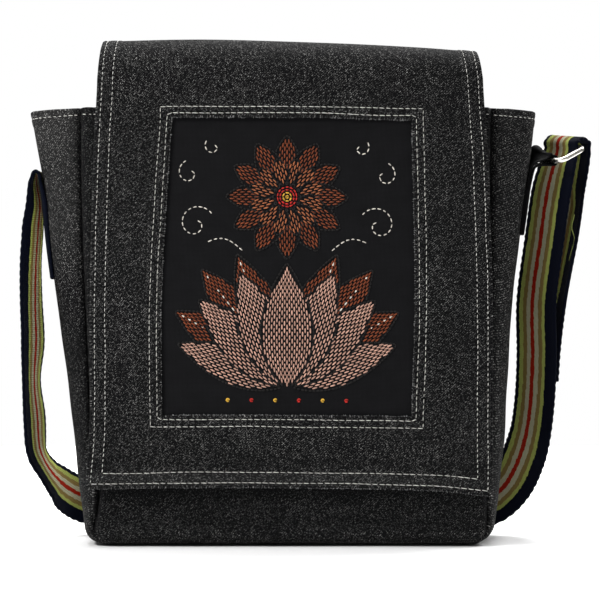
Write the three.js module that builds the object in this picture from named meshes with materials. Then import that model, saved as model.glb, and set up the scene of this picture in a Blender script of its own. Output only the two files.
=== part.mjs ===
// Denim sling bag: a soft body of a front panel, a back panel and one gusset strip that runs down the left
// side, under the base and up the right side, closed by a flap with a window over an embroidered panel.
// A striped webbing strap is sewn to the left side and loops through a metal ring on the right side.
// Millimetres, +Z up, front towards -Y, origin at the centre of the base that the bag stands on.
import * as THREE from "three";

// Cloth and hardware sizes
const WALL = 2; // doubled denim
const SEWN_GAP = 0.4; // between two pieces that are sewn together
const PANEL_CLOTH = 1.2; // embroidered cotton behind the window
const PANEL_LAP = 9; // how far that cotton reaches past the window
const FLAP_ROOM = 2.6; // between the front panel and the flap
const STRAP = { width: 32, thickness: 2.2 };
const TAB = { width: 20, thickness: 1.8, forward: 3.8 };
const RING = { innerLength: 34, innerDepth: 18, bar: 3.4, cornerRadius: 4.5, bevel: 0.9 };

// Body heights
const BASE_SEAM_HEIGHT = 4;
const FRONT_TOP = 298;
const BACK_TOP = 308;
const BACK_CORNER = { from: 0.82, to: 0.97, height: 250 }; // where the back panel's top drops to the mouth
const CORNER_RADIUS = 9; // of the panels' lower corners
const PANEL_SWELL = 4; // how far the panels belly out at mid height
const BASE_FLAT_SHARE = 0.7; // share of the base's depth that lies flat
const SEAM_INSET = 2.2; // the gusset's edge, short of the panel that it is sewn to

// The sides at each height: the seam between panel and gusset, how far the gusset swells past it, and the
// body's half depth. The left side splays more than the right one.
const SIDE_ROWS = [
  { height: 13, seamLeft: 134, swellLeft: 6.5, seamRight: 134, swellRight: 5.5, halfDepth: 38 },
  { height: 32, seamLeft: 134, swellLeft: 9, seamRight: 134, swellRight: 8, halfDepth: 38 },
  { height: 72, seamLeft: 135, swellLeft: 12.5, seamRight: 134.5, swellRight: 12, halfDepth: 37 },
  { height: 110, seamLeft: 136.5, swellLeft: 15.5, seamRight: 135, swellRight: 13.5, halfDepth: 35.5 },
  { height: 150, seamLeft: 138.5, swellLeft: 19, seamRight: 135.5, swellRight: 15.5, halfDepth: 33 },
  { height: 200, seamLeft: 141, swellLeft: 23.5, seamRight: 136, swellRight: 20, halfDepth: 30 },
  { height: 250, seamLeft: 142.5, swellLeft: 27.5, seamRight: 136.5, swellRight: 26.5, halfDepth: 27.2 },
  { height: 280, seamLeft: 143, swellLeft: 32, seamRight: 137, swellRight: 29.5, halfDepth: 25.6 },
  { height: 298, seamLeft: 143, swellLeft: 35, seamRight: 137, swellRight: 31, halfDepth: 25 },
];
const MOUTH_SLOPE = 1.8; // the gusset's top edge is this much lower at its fold than at its seams

// The gusset's lower corners: how far the swell reaches past the rounded seam at each turn of the corner.
const CORNER_ROWS = [
  { turn: 0, outLeft: 6.5, outRight: 5.5 },
  { turn: 30, outLeft: 5.6, outRight: 3.6 },
  { turn: 60, outLeft: 3.4, outRight: 2.2 },
  { turn: 90, outLeft: 3, outRight: 3 },
];

// The flap: half widths and lower edge, the sag of its crest, and its window
const FLAP_SEWN_FROM = 290;
const ARCH_START = 317;
const FLAP_WIDTH_ROWS = [
  { along: 0, left: 127, right: 126 },
  { along: 0.5, left: 128, right: 127 },
  { along: 1, left: 131, right: 131 },
  { along: 1.2, left: 133.5, right: 134.5 },
  { along: 1.55, left: 135.5, right: 137 },
  { along: 1.85, left: 135, right: 136.5 },
  { along: 2, left: 137.5, right: 136.5 },
];
const FLAP_EDGE_ROWS = [
  { across: -1, height: 39.5, sag: 1.5 },
  { across: -0.4, height: 40.5, sag: 0 },
  { across: 0.15, height: 40, sag: 1.6 },
  { across: 0.7, height: 38.5, sag: 5.4 },
  { across: 1, height: 34.5, sag: 8.4 },
];
const WINDOW = { top: 289, bottom: 89 };
const WINDOW_ROWS = [
  { height: 89, left: 86.5, right: 82 },
  { height: 170, left: 87, right: 84.5 },
  { height: 289, left: 80.5, right: 82.8 },
];

// The ring's place: its centre, the way its long bars run and the way from the tab's bar to the strap's bar
const RING_CENTRE = new THREE.Vector3(185.1, 5, 268.6);
const RING_LONG = new THREE.Vector3(0.5, -0.86, -0.1).normalize();
const RING_NORMAL = new THREE.Vector3(0.79, 0.41, 0.44).cross(RING_LONG).normalize();
const RING_SHORT = RING_LONG.clone().cross(RING_NORMAL).normalize();
const BAR_OFFSET = (RING.innerDepth + RING.bar) / 2;

// The strap's free run from the fold on the left to the ring: its middle line, and which way its broad navy
// edge points, as a turn in degrees from the front towards the left and a dip in degrees below level
const STRAP_ROWS = [
  { x: -172.2, y: 0, z: 247.5, turn: 0, dip: 0 },
  { x: -172.4, y: 0, z: 251.9, turn: 0, dip: 0 },
  { x: -173.3, y: 0, z: 254.2, turn: 0, dip: 0 },
  { x: -175.4, y: 0, z: 255.2, turn: 0, dip: 0 },
  { x: -177.5, y: 0, z: 254.2, turn: 0, dip: 0 },
  { x: -178.4, y: 0, z: 251.9, turn: 0, dip: 0 },
  { x: -178.6, y: 0, z: 247, turn: 6, dip: 0 },
  { x: -177.9, y: 0, z: 236, turn: 13, dip: 0 },
  { x: -177.7, y: 0, z: 216, turn: 19, dip: 0 },
  { x: -179, y: 0, z: 194, turn: 19, dip: 0 },
  { x: -179.1, y: 0, z: 166, turn: 20.5, dip: 0 },
  { x: -178.3, y: 0.5, z: 138, turn: 22, dip: 0 },
  { x: -179.4, y: 1.5, z: 110, turn: 15, dip: 0 },
  { x: -177.6, y: 4.5, z: 84, turn: 20, dip: 0 },
  { x: -176.4, y: 9, z: 63, turn: 18, dip: 0 },
  { x: -171.8, y: 16, z: 50.2, turn: 13, dip: 0 },
  { x: -165.8, y: 26, z: 39.6, turn: 18, dip: 6 },
  { x: -159, y: 36, z: 31.6, turn: 30, dip: 34 },
  { x: -150.4, y: 43.6, z: 26, turn: 37, dip: 72 },
  { x: -138, y: 47, z: 22, turn: 0, dip: 88 },
  { x: -104, y: 47.2, z: 18.8, turn: 0, dip: 90 },
  { x: -40, y: 47, z: 17.6, turn: 0, dip: 90 },
  { x: 40, y: 47, z: 17.6, turn: 0, dip: 90 },
  { x: 98, y: 47, z: 17.6, turn: 0, dip: 90 },
  { x: 122, y: 47, z: 18.6, turn: -70, dip: 66 },
  { x: 142, y: 43, z: 23, turn: -79, dip: 38 },
  { x: 154.8, y: 33, z: 36, turn: -76, dip: 32 },
  { x: 163, y: 20.5, z: 55, turn: -65, dip: 18 },
  { x: 167.2, y: 11, z: 73, turn: -54, dip: 3 },
  { x: 169.8, y: 5, z: 98, turn: -53, dip: 0 },
  { x: 170.8, y: 2, z: 128, turn: -53, dip: 0 },
  { x: 170.7, y: 2, z: 166, turn: -53, dip: 0 },
  { x: 176.4, y: 4.6, z: 208, turn: -53, dip: 0 },
  { x: 181.6, y: 5.8, z: 243, turn: -53, dip: 0 },
];

// The strap's tail below the ring, behind the run that comes up to it
const STRAP_TAIL_ROWS = [
  { x: 194.3, y: 19, z: 243, turn: -40, dip: 5.7 },
  { x: 187, y: 15, z: 208, turn: -53, dip: 0 },
  { x: 178.5, y: 9, z: 166, turn: -53, dip: 0 },
  { x: 173.8, y: 5.6, z: 130, turn: -53, dip: 0 },
  { x: 172.6, y: 5.8, z: 112, turn: -53, dip: 0 },
];
const STRAP_AT_RING = { turn: -40, dip: 5.7, foldRadius: 6.6 };

// Materials
const cloth = (colour) => new THREE.MeshStandardMaterial({ color: colour, roughness: 0.92, metalness: 0 });
const BLACK_DENIM = cloth(0x2c2c2b);
const BLACK_COTTON = cloth(0x232324);
const STRIPED_WEBBING = cloth(0x6b6544);
const NICKEL = new THREE.MeshStandardMaterial({ color: 0xd8d6d0, roughness: 0.25, metalness: 1 });

// A column of a table at a key, on a smooth curve through the rows.
function read(rows, key, column, at) {
  const place = THREE.MathUtils.clamp(at, rows[0][key], rows[rows.length - 1][key]);
  let i = 0;
  while (i < rows.length - 2 && place > rows[i + 1][key]) i += 1;
  const slope = (k) => {
    const before = rows[Math.max(k - 1, 0)];
    const after = rows[Math.min(k + 1, rows.length - 1)];
    return (after[column] - before[column]) / (after[key] - before[key]);
  };
  const span = rows[i + 1][key] - rows[i][key];
  const t = (place - rows[i][key]) / span;
  const rise = rows[i + 1][column] - rows[i][column];
  const bend = (slope(i) * span - rise) * (1 - t) - (slope(i + 1) * span - rise) * t;
  return rows[i][column] + rise * t + t * (1 - t) * bend;
}

// Evenly spaced numbers from one end to the other.
function steps(from, to, count) {
  return Array.from({ length: count + 1 }, (_, i) => from + ((to - from) * i) / count);
}

// A closed wall around a grid of middle points, grid[i][j], half its thickness to each side. Cells that skip
// names are left out, and every open edge is closed by a side wall.
function thickSheet(grid, thickness, skip = () => false) {
  const rows = grid.length;
  const columns = grid[0].length;
  const positions = [];
  const index = [];
  const at = (i, j, side) => 2 * (i * columns + j) + side;
  for (let i = 0; i < rows; i += 1) {
    for (let j = 0; j < columns; j += 1) {
      const down = grid[Math.min(i + 1, rows - 1)][j].clone().sub(grid[Math.max(i - 1, 0)][j]);
      const over = grid[i][Math.min(j + 1, columns - 1)].clone().sub(grid[i][Math.max(j - 1, 0)]);
      const normal = down.cross(over).normalize();
      positions.push(...grid[i][j].clone().addScaledVector(normal, thickness / 2).toArray());
      positions.push(...grid[i][j].clone().addScaledVector(normal, -thickness / 2).toArray());
    }
  }
  const kept = (i, j) => i >= 0 && j >= 0 && i < rows - 1 && j < columns - 1 && !skip(i, j);
  const wall = (p, q) => index.push(q, p, p + 1, q, p + 1, q + 1);
  for (let i = 0; i < rows - 1; i += 1) {
    for (let j = 0; j < columns - 1; j += 1) {
      if (!kept(i, j)) continue;
      const [a, b, c, d] = [at(i, j, 0), at(i + 1, j, 0), at(i + 1, j + 1, 0), at(i, j + 1, 0)];
      index.push(a, b, c, a, c, d, a + 1, c + 1, b + 1, a + 1, d + 1, c + 1);
      if (!kept(i, j - 1)) wall(a, b);
      if (!kept(i + 1, j)) wall(b, c);
      if (!kept(i, j + 1)) wall(c, d);
      if (!kept(i - 1, j)) wall(d, a);
    }
  }
  return closedGeometry(positions, index);
}

// An indexed geometry with the vertices that no face uses left out.
function closedGeometry(positions, index) {
  const renumbered = new Map();
  const used = [];
  const compact = index.map((old) => {
    if (!renumbered.has(old)) {
      renumbered.set(old, renumbered.size);
      used.push(...positions.slice(3 * old, 3 * old + 3));
    }
    return renumbered.get(old);
  });
  const geometry = new THREE.BufferGeometry();
  geometry.setAttribute("position", new THREE.Float32BufferAttribute(used, 3));
  geometry.setIndex(compact);
  geometry.computeVertexNormals();
  return geometry;
}

// A flat band along a route of rows { point, edge }, where edge is the way across the band.
function band(route, count, { width, thickness }) {
  const path = new THREE.CatmullRomCurve3(route.map((row) => row.point), false, "centripetal");
  const edges = new THREE.CatmullRomCurve3(route.map((row) => row.edge));
  const positions = [];
  const index = [];
  for (const t of steps(0, 1, count)) {
    const centre = path.getPoint(t);
    const forward = path.getTangent(t);
    const across = edges.getPoint(t);
    across.addScaledVector(forward, -across.dot(forward)).normalize().multiplyScalar(width / 2);
    const up = across.clone().cross(forward).normalize().multiplyScalar(thickness / 2);
    for (const [a, u] of [[1, 1], [1, -1], [-1, -1], [-1, 1]]) {
      positions.push(...centre.clone().addScaledVector(across, a).addScaledVector(up, u).toArray());
    }
  }
  for (let i = 0; i < count; i += 1) {
    for (let k = 0; k < 4; k += 1) {
      const [a, b] = [4 * i + k, 4 * i + ((k + 1) % 4)];
      index.push(a, b, b + 4, a, b + 4, a + 4);
    }
  }
  const end = 4 * count;
  index.push(0, 2, 1, 0, 3, 2, end, end + 1, end + 2, end, end + 2, end + 3);
  return closedGeometry(positions, index);
}

// Half width of the panels at a height, with their lower corners rounded.
function seamReach(side, height) {
  const full = read(SIDE_ROWS, "height", `seam${side}`, height);
  const below = Math.max(0, BASE_SEAM_HEIGHT + CORNER_RADIUS - height);
  return full - CORNER_RADIUS + Math.sqrt(Math.max(0, CORNER_RADIUS ** 2 - below ** 2));
}

// Where the gusset's fold stands at a height, on its middle surface.
function foldReach(side, height) {
  return read(SIDE_ROWS, "height", `seam${side}`, height) + read(SIDE_ROWS, "height", `swell${side}`, height);
}

const halfDepth = (height) => read(SIDE_ROWS, "height", "halfDepth", height);

// How far a panel bellies out, by its share across and its height.
function swell(across, height) {
  const share = THREE.MathUtils.clamp((height - BASE_SEAM_HEIGHT) / (FRONT_TOP - BASE_SEAM_HEIGHT), 0, 1);
  return PANEL_SWELL * (1 - across ** 2) * Math.sin(Math.PI * share);
}

// A point of the front panel (facing -1) or the back panel (facing 1).
function panelPoint(facing, across, height) {
  const x = THREE.MathUtils.mapLinear(across, -1, 1, -seamReach("Left", height), seamReach("Right", height));
  return new THREE.Vector3(x, facing * (halfDepth(height) + swell(across, height)), height);
}

// A panel's height at a place across: a top above the mouth drops to the mouth at the corners.
function panelHeight(across, height, top) {
  const drop = (top - FRONT_TOP) * THREE.MathUtils.smoothstep(Math.abs(across), BACK_CORNER.from, BACK_CORNER.to);
  return height - drop * THREE.MathUtils.smoothstep(height, BACK_CORNER.height, top);
}

function bodyPanel(facing, top) {
  const corner = steps(BASE_SEAM_HEIGHT, BASE_SEAM_HEIGHT + CORNER_RADIUS, 4);
  const heights = [...corner, ...steps(BASE_SEAM_HEIGHT + CORNER_RADIUS + 12, top, 12)];
  const across = [-1, -0.97, -0.92, -0.82, -0.62, -0.4, -0.2, 0, 0.2, 0.4, 0.62, 0.82, 0.92, 0.97, 1];
  const grid = heights.map((height) =>
    across.map((share) => panelPoint(facing, -facing * share, panelHeight(share, height, top))),
  );
  return thickSheet(grid, WALL);
}

// The gusset's sections in order from the left mouth, round the base, to the right mouth. Each has its seam
// in the front view, the way and the amount that it swells, its half depth and how flat it is.
function gussetSections() {
  const sideHeights = [...steps(FRONT_TOP, BASE_SEAM_HEIGHT + CORNER_RADIUS + 7, 12)];
  const cornerTurns = steps(0, 90, 6);
  const side = (name, sign) =>
    sideHeights.map((height) => ({
      seam: [sign * read(SIDE_ROWS, "height", `seam${name}`, height), height],
      out: [sign * read(SIDE_ROWS, "height", `swell${name}`, height), 0],
      drop: MOUTH_SLOPE * THREE.MathUtils.smoothstep(height, 250, FRONT_TOP),
      depth: halfDepth(height),
      flat: 0,
    }));
  const corner = (name, sign) =>
    cornerTurns.map((turn) => {
      const angle = THREE.MathUtils.degToRad(turn);
      const reach = read(SIDE_ROWS, "height", `seam${name}`, 0) - CORNER_RADIUS;
      const out = read(CORNER_ROWS, "turn", `out${name}`, turn);
      return {
        seam: [
          sign * (reach + CORNER_RADIUS * Math.cos(angle)),
          BASE_SEAM_HEIGHT + CORNER_RADIUS * (1 - Math.sin(angle)),
        ],
        out: [sign * out * Math.cos(angle), -out * Math.sin(angle)],
        drop: 0,
        depth: halfDepth(0),
        flat: turn / 90,
      };
    });
  const base = steps(-1, 1, 6).slice(1, -1).map((share) => ({
    seam: [share * (read(SIDE_ROWS, "height", "seamRight", 0) - CORNER_RADIUS), BASE_SEAM_HEIGHT],
    out: [0, WALL / 2 - BASE_SEAM_HEIGHT],
    drop: 0,
    depth: halfDepth(0),
    flat: 1,
  }));
  return [
    ...side("Left", -1),
    ...corner("Left", -1),
    ...base,
    ...corner("Right", 1).reverse(),
    ...side("Right", 1).reverse(),
  ];
}

// A point of the gusset: across runs from the front seam at -1 to the back seam at 1.
function gussetPoint({ seam, out, drop, depth, flat }, across) {
  const rounded = 1 - across ** 4;
  const past = Math.max(0, Math.abs(across) - BASE_FLAT_SHARE) / (1 - BASE_FLAT_SHARE);
  const share = THREE.MathUtils.lerp(rounded, 1 - past ** 2, flat);
  return new THREE.Vector3(
    seam[0] + out[0] * share,
    across * (depth - SEAM_INSET),
    seam[1] + out[1] * share - drop * share,
  );
}

function gusset() {
  const across = [-1, -0.9, -BASE_FLAT_SHARE, -0.45, 0, 0.45, BASE_FLAT_SHARE, 0.9, 1];
  return thickSheet(gussetSections().map((section) => across.map((share) => gussetPoint(section, share))), WALL);
}

// The flap's middle surface. Along is 0 at the edge sewn to the back, 0 to 1 over the crest and 1 to 2 down
// the front; inset moves the point towards the body.
function flapPoint(x, across, along, inset = 0) {
  const frontAt = (height) => -halfDepth(height) - swell(across, height) - WALL - FLAP_ROOM + inset;
  const backAt = (height) => halfDepth(height) + swell(across, height) + WALL + 2 * SEWN_GAP;
  const radius = (backAt(ARCH_START) - frontAt(ARCH_START)) / 2;
  const lap = ARCH_START - FLAP_SEWN_FROM;
  const crestLength = lap + Math.PI * radius;
  const run = along * crestLength;
  const sag = read(FLAP_EDGE_ROWS, "across", "sag", across);
  if (along > 1) {
    const low = read(FLAP_EDGE_ROWS, "across", "height", across);
    const height = THREE.MathUtils.lerp(ARCH_START, low, along - 1);
    return new THREE.Vector3(x, frontAt(height), height);
  }
  if (run < lap) return new THREE.Vector3(x, backAt(FLAP_SEWN_FROM + run), FLAP_SEWN_FROM + run);
  const angle = (run - lap) / radius;
  const middle = (backAt(ARCH_START) + frontAt(ARCH_START)) / 2;
  const height = ARCH_START + (radius - sag) * Math.sin(angle);
  return new THREE.Vector3(x, middle + radius * Math.cos(angle), height);
}

// Where a height on the flap's front lies along it, taken at the middle.
function frontAlong(height) {
  return 1 + (ARCH_START - height) / (ARCH_START - read(FLAP_EDGE_ROWS, "across", "height", 0));
}

// The x of a column of the flap: columns run from the left edge past the window to the right edge.
function flapX(along, side, share) {
  const edge = read(FLAP_WIDTH_ROWS, "along", side, along);
  const height = THREE.MathUtils.mapLinear(along, 1, frontAlong(WINDOW.bottom), ARCH_START, WINDOW.bottom);
  const inner = read(WINDOW_ROWS, "height", side, height);
  return (side === "left" ? -1 : 1) * THREE.MathUtils.lerp(inner, edge, share);
}

function flapRow(along) {
  const [left, right] = [flapX(along, "left", 0), flapX(along, "right", 0)];
  const columns = [
    ...steps(1, 0, 4).map((share) => flapX(along, "left", share)),
    ...steps(0, 1, 8).slice(1, -1).map((share) => THREE.MathUtils.lerp(left, right, share)),
    ...steps(0, 1, 4).map((share) => flapX(along, "right", share)),
  ];
  const [from, to] = [columns[0], columns[columns.length - 1]];
  return columns.map((x) => flapPoint(x, THREE.MathUtils.mapLinear(x, from, to, -1, 1), along));
}

function flap() {
  const [windowTop, windowBottom] = [frontAlong(WINDOW.top), frontAlong(WINDOW.bottom)];
  const back = steps(0, 1, 14);
  const above = steps(1, windowTop, 2).slice(1);
  const beside = steps(windowTop, windowBottom, 8).slice(1);
  const below = steps(windowBottom, 2, 3).slice(1);
  const first = back.length + above.length - 1;
  const inWindow = (i, j) => i >= first && i < first + beside.length && j >= 4 && j < 12;
  return thickSheet([...back, ...above, ...beside, ...below].map(flapRow), WALL, inWindow);
}

// The embroidered cotton: a plain sheet that backs the window.
function embroideredPanel() {
  const inset = WALL / 2 + SEWN_GAP + PANEL_CLOTH / 2;
  const rows = steps(frontAlong(WINDOW.top + PANEL_LAP), frontAlong(WINDOW.bottom - PANEL_LAP), 10);
  const grid = rows.map((along) => {
    const left = flapX(along, "left", 0) - PANEL_LAP;
    const right = flapX(along, "right", 0) + PANEL_LAP;
    const [from, to] = [flapX(along, "left", 1), flapX(along, "right", 1)];
    return steps(left, right, 8).map((x) =>
      flapPoint(x, THREE.MathUtils.mapLinear(x, from, to, -1, 1), along, inset),
    );
  });
  return thickSheet(grid, PANEL_CLOTH);
}

// The way that a band's edge points: a turn from the front towards the left and a dip below level.
function edgeWay({ turn, dip }) {
  const [a, b] = [THREE.MathUtils.degToRad(turn), THREE.MathUtils.degToRad(dip)];
  return new THREE.Vector3(-Math.sin(a) * Math.cos(b), -Math.cos(a) * Math.cos(b), -Math.sin(b));
}

const FRONT = edgeWay({ turn: 0, dip: 0 });
const row = (x, y, z, edge) => ({ point: new THREE.Vector3(x, y, z), edge });

// The strap: sewn up the left side, folded over, down behind the base, up the right side, over the ring's
// outer bar and back down on itself.
function strapRoute() {
  const sewn = WALL / 2 + SEWN_GAP + STRAP.thickness / 2;
  const sewnRow = (height) => row(-foldReach("Left", height) - sewn, 0, height, FRONT);
  const freeRow = (place) => row(place.x, place.y, place.z, edgeWay(place));
  const bar = RING_CENTRE.clone().addScaledVector(RING_SHORT, BAR_OFFSET).addScaledVector(RING_LONG, -1);
  const along = edgeWay(STRAP_AT_RING);
  const inward = along.clone().cross(new THREE.Vector3(0, 0, 1)).negate().normalize();
  const overBar = (turn) => {
    const angle = THREE.MathUtils.degToRad(turn);
    const point = bar.clone().addScaledVector(inward, -STRAP_AT_RING.foldRadius * Math.cos(angle));
    point.z += STRAP_AT_RING.foldRadius * Math.sin(angle);
    return row(point.x, point.y, point.z, along);
  };
  return [
    ...[182, 205, 226, 239].map(sewnRow),
    ...STRAP_ROWS.map(freeRow),
    ...[-20, 30, 90, 150, 200].map(overBar),
    ...STRAP_TAIL_ROWS.map(freeRow),
  ];
}

// The tab: a folded strip sewn up the right side, its loop held round the ring's inner bar.
function tabRoute() {
  const inner = WALL / 2 + 2 * SEWN_GAP + TAB.thickness / 2;
  const outer = inner + TAB.thickness + SEWN_GAP;
  const bar = RING_CENTRE.clone().addScaledVector(RING_SHORT, -BAR_OFFSET);
  const sewnRow = (offset, height) => row(foldReach("Right", height) + offset, -TAB.forward, height, FRONT);
  const outward = new THREE.Vector3(-RING_LONG.y, RING_LONG.x, 0).normalize();
  const byBar = (away, up) => {
    const point = bar.clone().addScaledVector(outward, away);
    return row(point.x, point.y, point.z + up, RING_LONG);
  };
  return [
    ...[212, 228, 244, 255].map((height) => sewnRow(inner, height)),
    byBar(-4.6, 1.4),
    byBar(-3.2, 5),
    byBar(0, 6.4),
    byBar(3, 4.2),
    byBar(4.2, 0.2),
    byBar(2.6, -3.6),
    byBar(-0.8, -5),
    sewnRow(outer + 1.5, 252),
    sewnRow(outer + 0.3, 242),
    ...[228, 212].map((height) => sewnRow(outer, height)),
  ];
}

// The ring: a stamped rectangular loop with rounded edges.
function ringGeometry() {
  const roundedRectangle = (shape, length, depth, radius) => {
    const [x, y] = [length / 2, depth / 2];
    shape.moveTo(-x + radius, -y);
    for (const [cx, cy, start] of [[x, -y, -90], [x, y, 0], [-x, y, 90], [-x, -y, 180]]) {
      const from = THREE.MathUtils.degToRad(start);
      shape.absarc(cx - Math.sign(cx) * radius, cy - Math.sign(cy) * radius, radius, from, from + Math.PI / 2);
    }
    return shape;
  };
  const { innerLength, innerDepth, bar, cornerRadius, bevel } = RING;
  const outline = roundedRectangle(new THREE.Shape(), innerLength + 2 * bar, innerDepth + 2 * bar, cornerRadius);
  outline.holes.push(roundedRectangle(new THREE.Path(), innerLength, innerDepth, cornerRadius - bar / 2));
  const geometry = new THREE.ExtrudeGeometry(outline, {
    depth: bar - 2 * bevel,
    bevelEnabled: true,
    bevelThickness: bevel,
    bevelSize: bevel,
    bevelOffset: -bevel,
    bevelSegments: 2,
    curveSegments: 5,
  });
  return geometry.translate(0, 0, bevel - bar / 2);
}

const bag = new THREE.Group();

function add(name, geometry, material) {
  const mesh = new THREE.Mesh(geometry, material);
  mesh.name = name;
  bag.add(mesh);
  return mesh;
}

add("front_panel", bodyPanel(-1, FRONT_TOP), BLACK_DENIM);
add("back_panel", bodyPanel(1, BACK_TOP), BLACK_DENIM);
add("gusset", gusset(), BLACK_DENIM);
add("flap", flap(), BLACK_DENIM);
add("embroidered_panel", embroideredPanel(), BLACK_COTTON);
add("strap", band(strapRoute(), 130, STRAP), STRIPED_WEBBING);
add("ring_tab", band(tabRoute(), 56, TAB), BLACK_DENIM);

const ring = add("strap_ring", ringGeometry(), NICKEL);
const ringNormal = new THREE.Vector3().crossVectors(RING_LONG, RING_SHORT);
ring.quaternion.setFromRotationMatrix(new THREE.Matrix4().makeBasis(RING_LONG, RING_SHORT, ringNormal));
ring.position.copy(RING_CENTRE);

export default bag;
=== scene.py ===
"""Dresses the denim sling bag: cloth walls with hems and stitches, embroidery, webbing strap and ring."""
import logging
from dataclasses import dataclass, field
from enum import Enum

import bpy
import numpy as np
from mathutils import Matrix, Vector


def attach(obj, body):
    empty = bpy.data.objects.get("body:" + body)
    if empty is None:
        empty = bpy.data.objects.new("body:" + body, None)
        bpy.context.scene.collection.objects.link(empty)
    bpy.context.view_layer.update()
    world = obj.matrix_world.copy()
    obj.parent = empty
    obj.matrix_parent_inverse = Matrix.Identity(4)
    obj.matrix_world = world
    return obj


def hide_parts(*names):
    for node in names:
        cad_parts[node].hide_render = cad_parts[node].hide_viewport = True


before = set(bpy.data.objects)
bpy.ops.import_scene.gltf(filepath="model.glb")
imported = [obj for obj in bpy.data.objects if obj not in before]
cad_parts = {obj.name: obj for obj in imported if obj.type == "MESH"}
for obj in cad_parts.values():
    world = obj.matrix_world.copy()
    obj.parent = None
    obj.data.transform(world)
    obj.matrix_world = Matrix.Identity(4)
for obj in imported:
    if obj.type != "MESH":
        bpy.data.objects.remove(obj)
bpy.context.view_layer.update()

MM = 0.001  # shapes are worked out in millimetres and put into meshes in metres
PER_METRE = 1000.0  # a texture on object coordinates counts in metres
BODY = "root"  # the one rigid body of a bag with no joints
LOG = logging.getLogger("sling_bag")
Array = np.ndarray
Pair = tuple[float, float]
Piece = bpy.types.Object
Material = bpy.types.Material


def unit(vectors: Array) -> Array:
    """Vectors scaled to length one along the last axis."""
    return vectors / np.maximum(np.linalg.norm(vectors, axis=-1, keepdims=True), 1e-9)


def ease(value: Array, low: float, high: float) -> Array:
    """A smooth step from 0 at low to 1 at high: 3t squared minus 2t cubed."""
    t = np.clip((value - low) / (high - low), 0.0, 1.0)
    return t * t * (3.0 - 2.0 * t)


def dip(distance: Array, width: float) -> Array:
    """A bell of height 1 at no distance: e to the minus square of distance over width."""
    return np.exp(-((distance / width) ** 2))


def hump(value: Array, rise: Pair, fall: Pair) -> Array:
    """A smooth rise from 0 to 1 and a later smooth fall back to 0."""
    return ease(value, *rise) * (1.0 - ease(value, *fall))


RIPPLE_SINES = (  # share of the frequency, lean with the offset, share of the phase
    (1.0, 0.45, 1.0),
    (0.71, -0.3, 2.3),
    (1.43, 0.2, 4.1),
)


def ripple(run: Array, offset: Array, wavelength: float, phase: float) -> Array:
    """An uneven wave from -1 to 1: the mean of three sines of nearby wavelengths, leaning with the offset."""
    turn = 2.0 * np.pi / wavelength
    sines = [np.sin(share * turn * run + lean * offset + late * phase) for share, lean, late in RIPPLE_SINES]
    return sum(sines) / len(sines)


def run_lengths(points: Array) -> Array:
    """Distance run along a line of points, from 0 at the first: the running sum of the steps."""
    steps = np.linalg.norm(np.diff(points, axis=0), axis=-1)
    return np.concatenate([np.zeros((1, *steps.shape[1:])), np.cumsum(steps, axis=0)])


@dataclass(frozen=True)
class Table:
    """Rows of sizes under named columns, read as smooth curves over the first column."""

    columns: tuple[str, ...]
    rows: tuple[tuple[float, ...], ...]

    def __call__(self, column: str, at: Array | float) -> Array:
        """Reads a column between rows.

        A cubic through the rows: the straight line between two rows plus a bend that meets, at each row, the
        slope from the row before to the row after.

        Args:
            column: the column's name.
            at: places in the first column.

        Returns:
            The column's value at each place.
        """
        rows = np.array(self.rows, float)
        key = rows[:, 0]
        value = rows[:, self.columns.index(column)]
        before = np.maximum(np.arange(len(key)) - 1, 0)
        after = np.minimum(np.arange(len(key)) + 1, len(key) - 1)
        slope = (value[after] - value[before]) / (key[after] - key[before])
        place = np.clip(at, key[0], key[-1])
        i = np.clip(np.searchsorted(key, place, side="right") - 1, 0, len(key) - 2)
        span = key[i + 1] - key[i]
        rise = value[i + 1] - value[i]
        t = (place - key[i]) / span
        bend = (slope[i] * span - rise) * (1.0 - t) - (slope[i + 1] * span - rise) * t
        return value[i] + rise * t + t * (1.0 - t) * bend


def catmull(points: Array, count: int) -> Array:
    """A smooth line through given points, as the CAD source draws it.

    Centripetal Catmull-Rom: each stretch is a cubic whose end slopes come from the neighbouring points, with
    knots spaced by the square root of the distance between points.

    Args:
        points: the points, one a row.
        count: how many steps to draw, shared evenly among the stretches.

    Returns:
        count + 1 points on the line.
    """
    first = 2.0 * points[0] - points[1]
    last = 2.0 * points[-1] - points[-2]
    padded = np.vstack([first, points, last])
    place = np.linspace(0.0, len(points) - 1.0, count + 1)
    i = np.minimum(place.astype(int), len(points) - 2)
    t = (place - i)[:, None]
    p0, p1, p2, p3 = (padded[i + k] for k in range(4))
    d0, d1, d2 = (np.sqrt(np.linalg.norm(b - a, axis=1))[:, None] for a, b in ((p0, p1), (p1, p2), (p2, p3)))
    least = 1e-6  # keeps points that coincide from dividing by nothing
    d1 = np.maximum(d1, least)
    d0 = np.where(d0 < least, d1, d0)
    d2 = np.where(d2 < least, d1, d2)
    leave = ((p1 - p0) / d0 - (p2 - p0) / (d0 + d1) + (p2 - p1) / d1) * d1
    arrive = ((p2 - p1) / d1 - (p3 - p1) / (d1 + d2) + (p3 - p2) / d2) * d1
    rise = p2 - p1
    return p1 + leave * t + (3.0 * rise - 2.0 * leave - arrive) * t**2 + (leave + arrive - 2.0 * rise) * t**3


def surface_normals(grid: Array) -> Array:
    """Unit normals of a grid of points: the step down the rows crossed with the step over the columns."""
    return unit(np.cross(np.gradient(grid, axis=0), np.gradient(grid, axis=1)))


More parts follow.
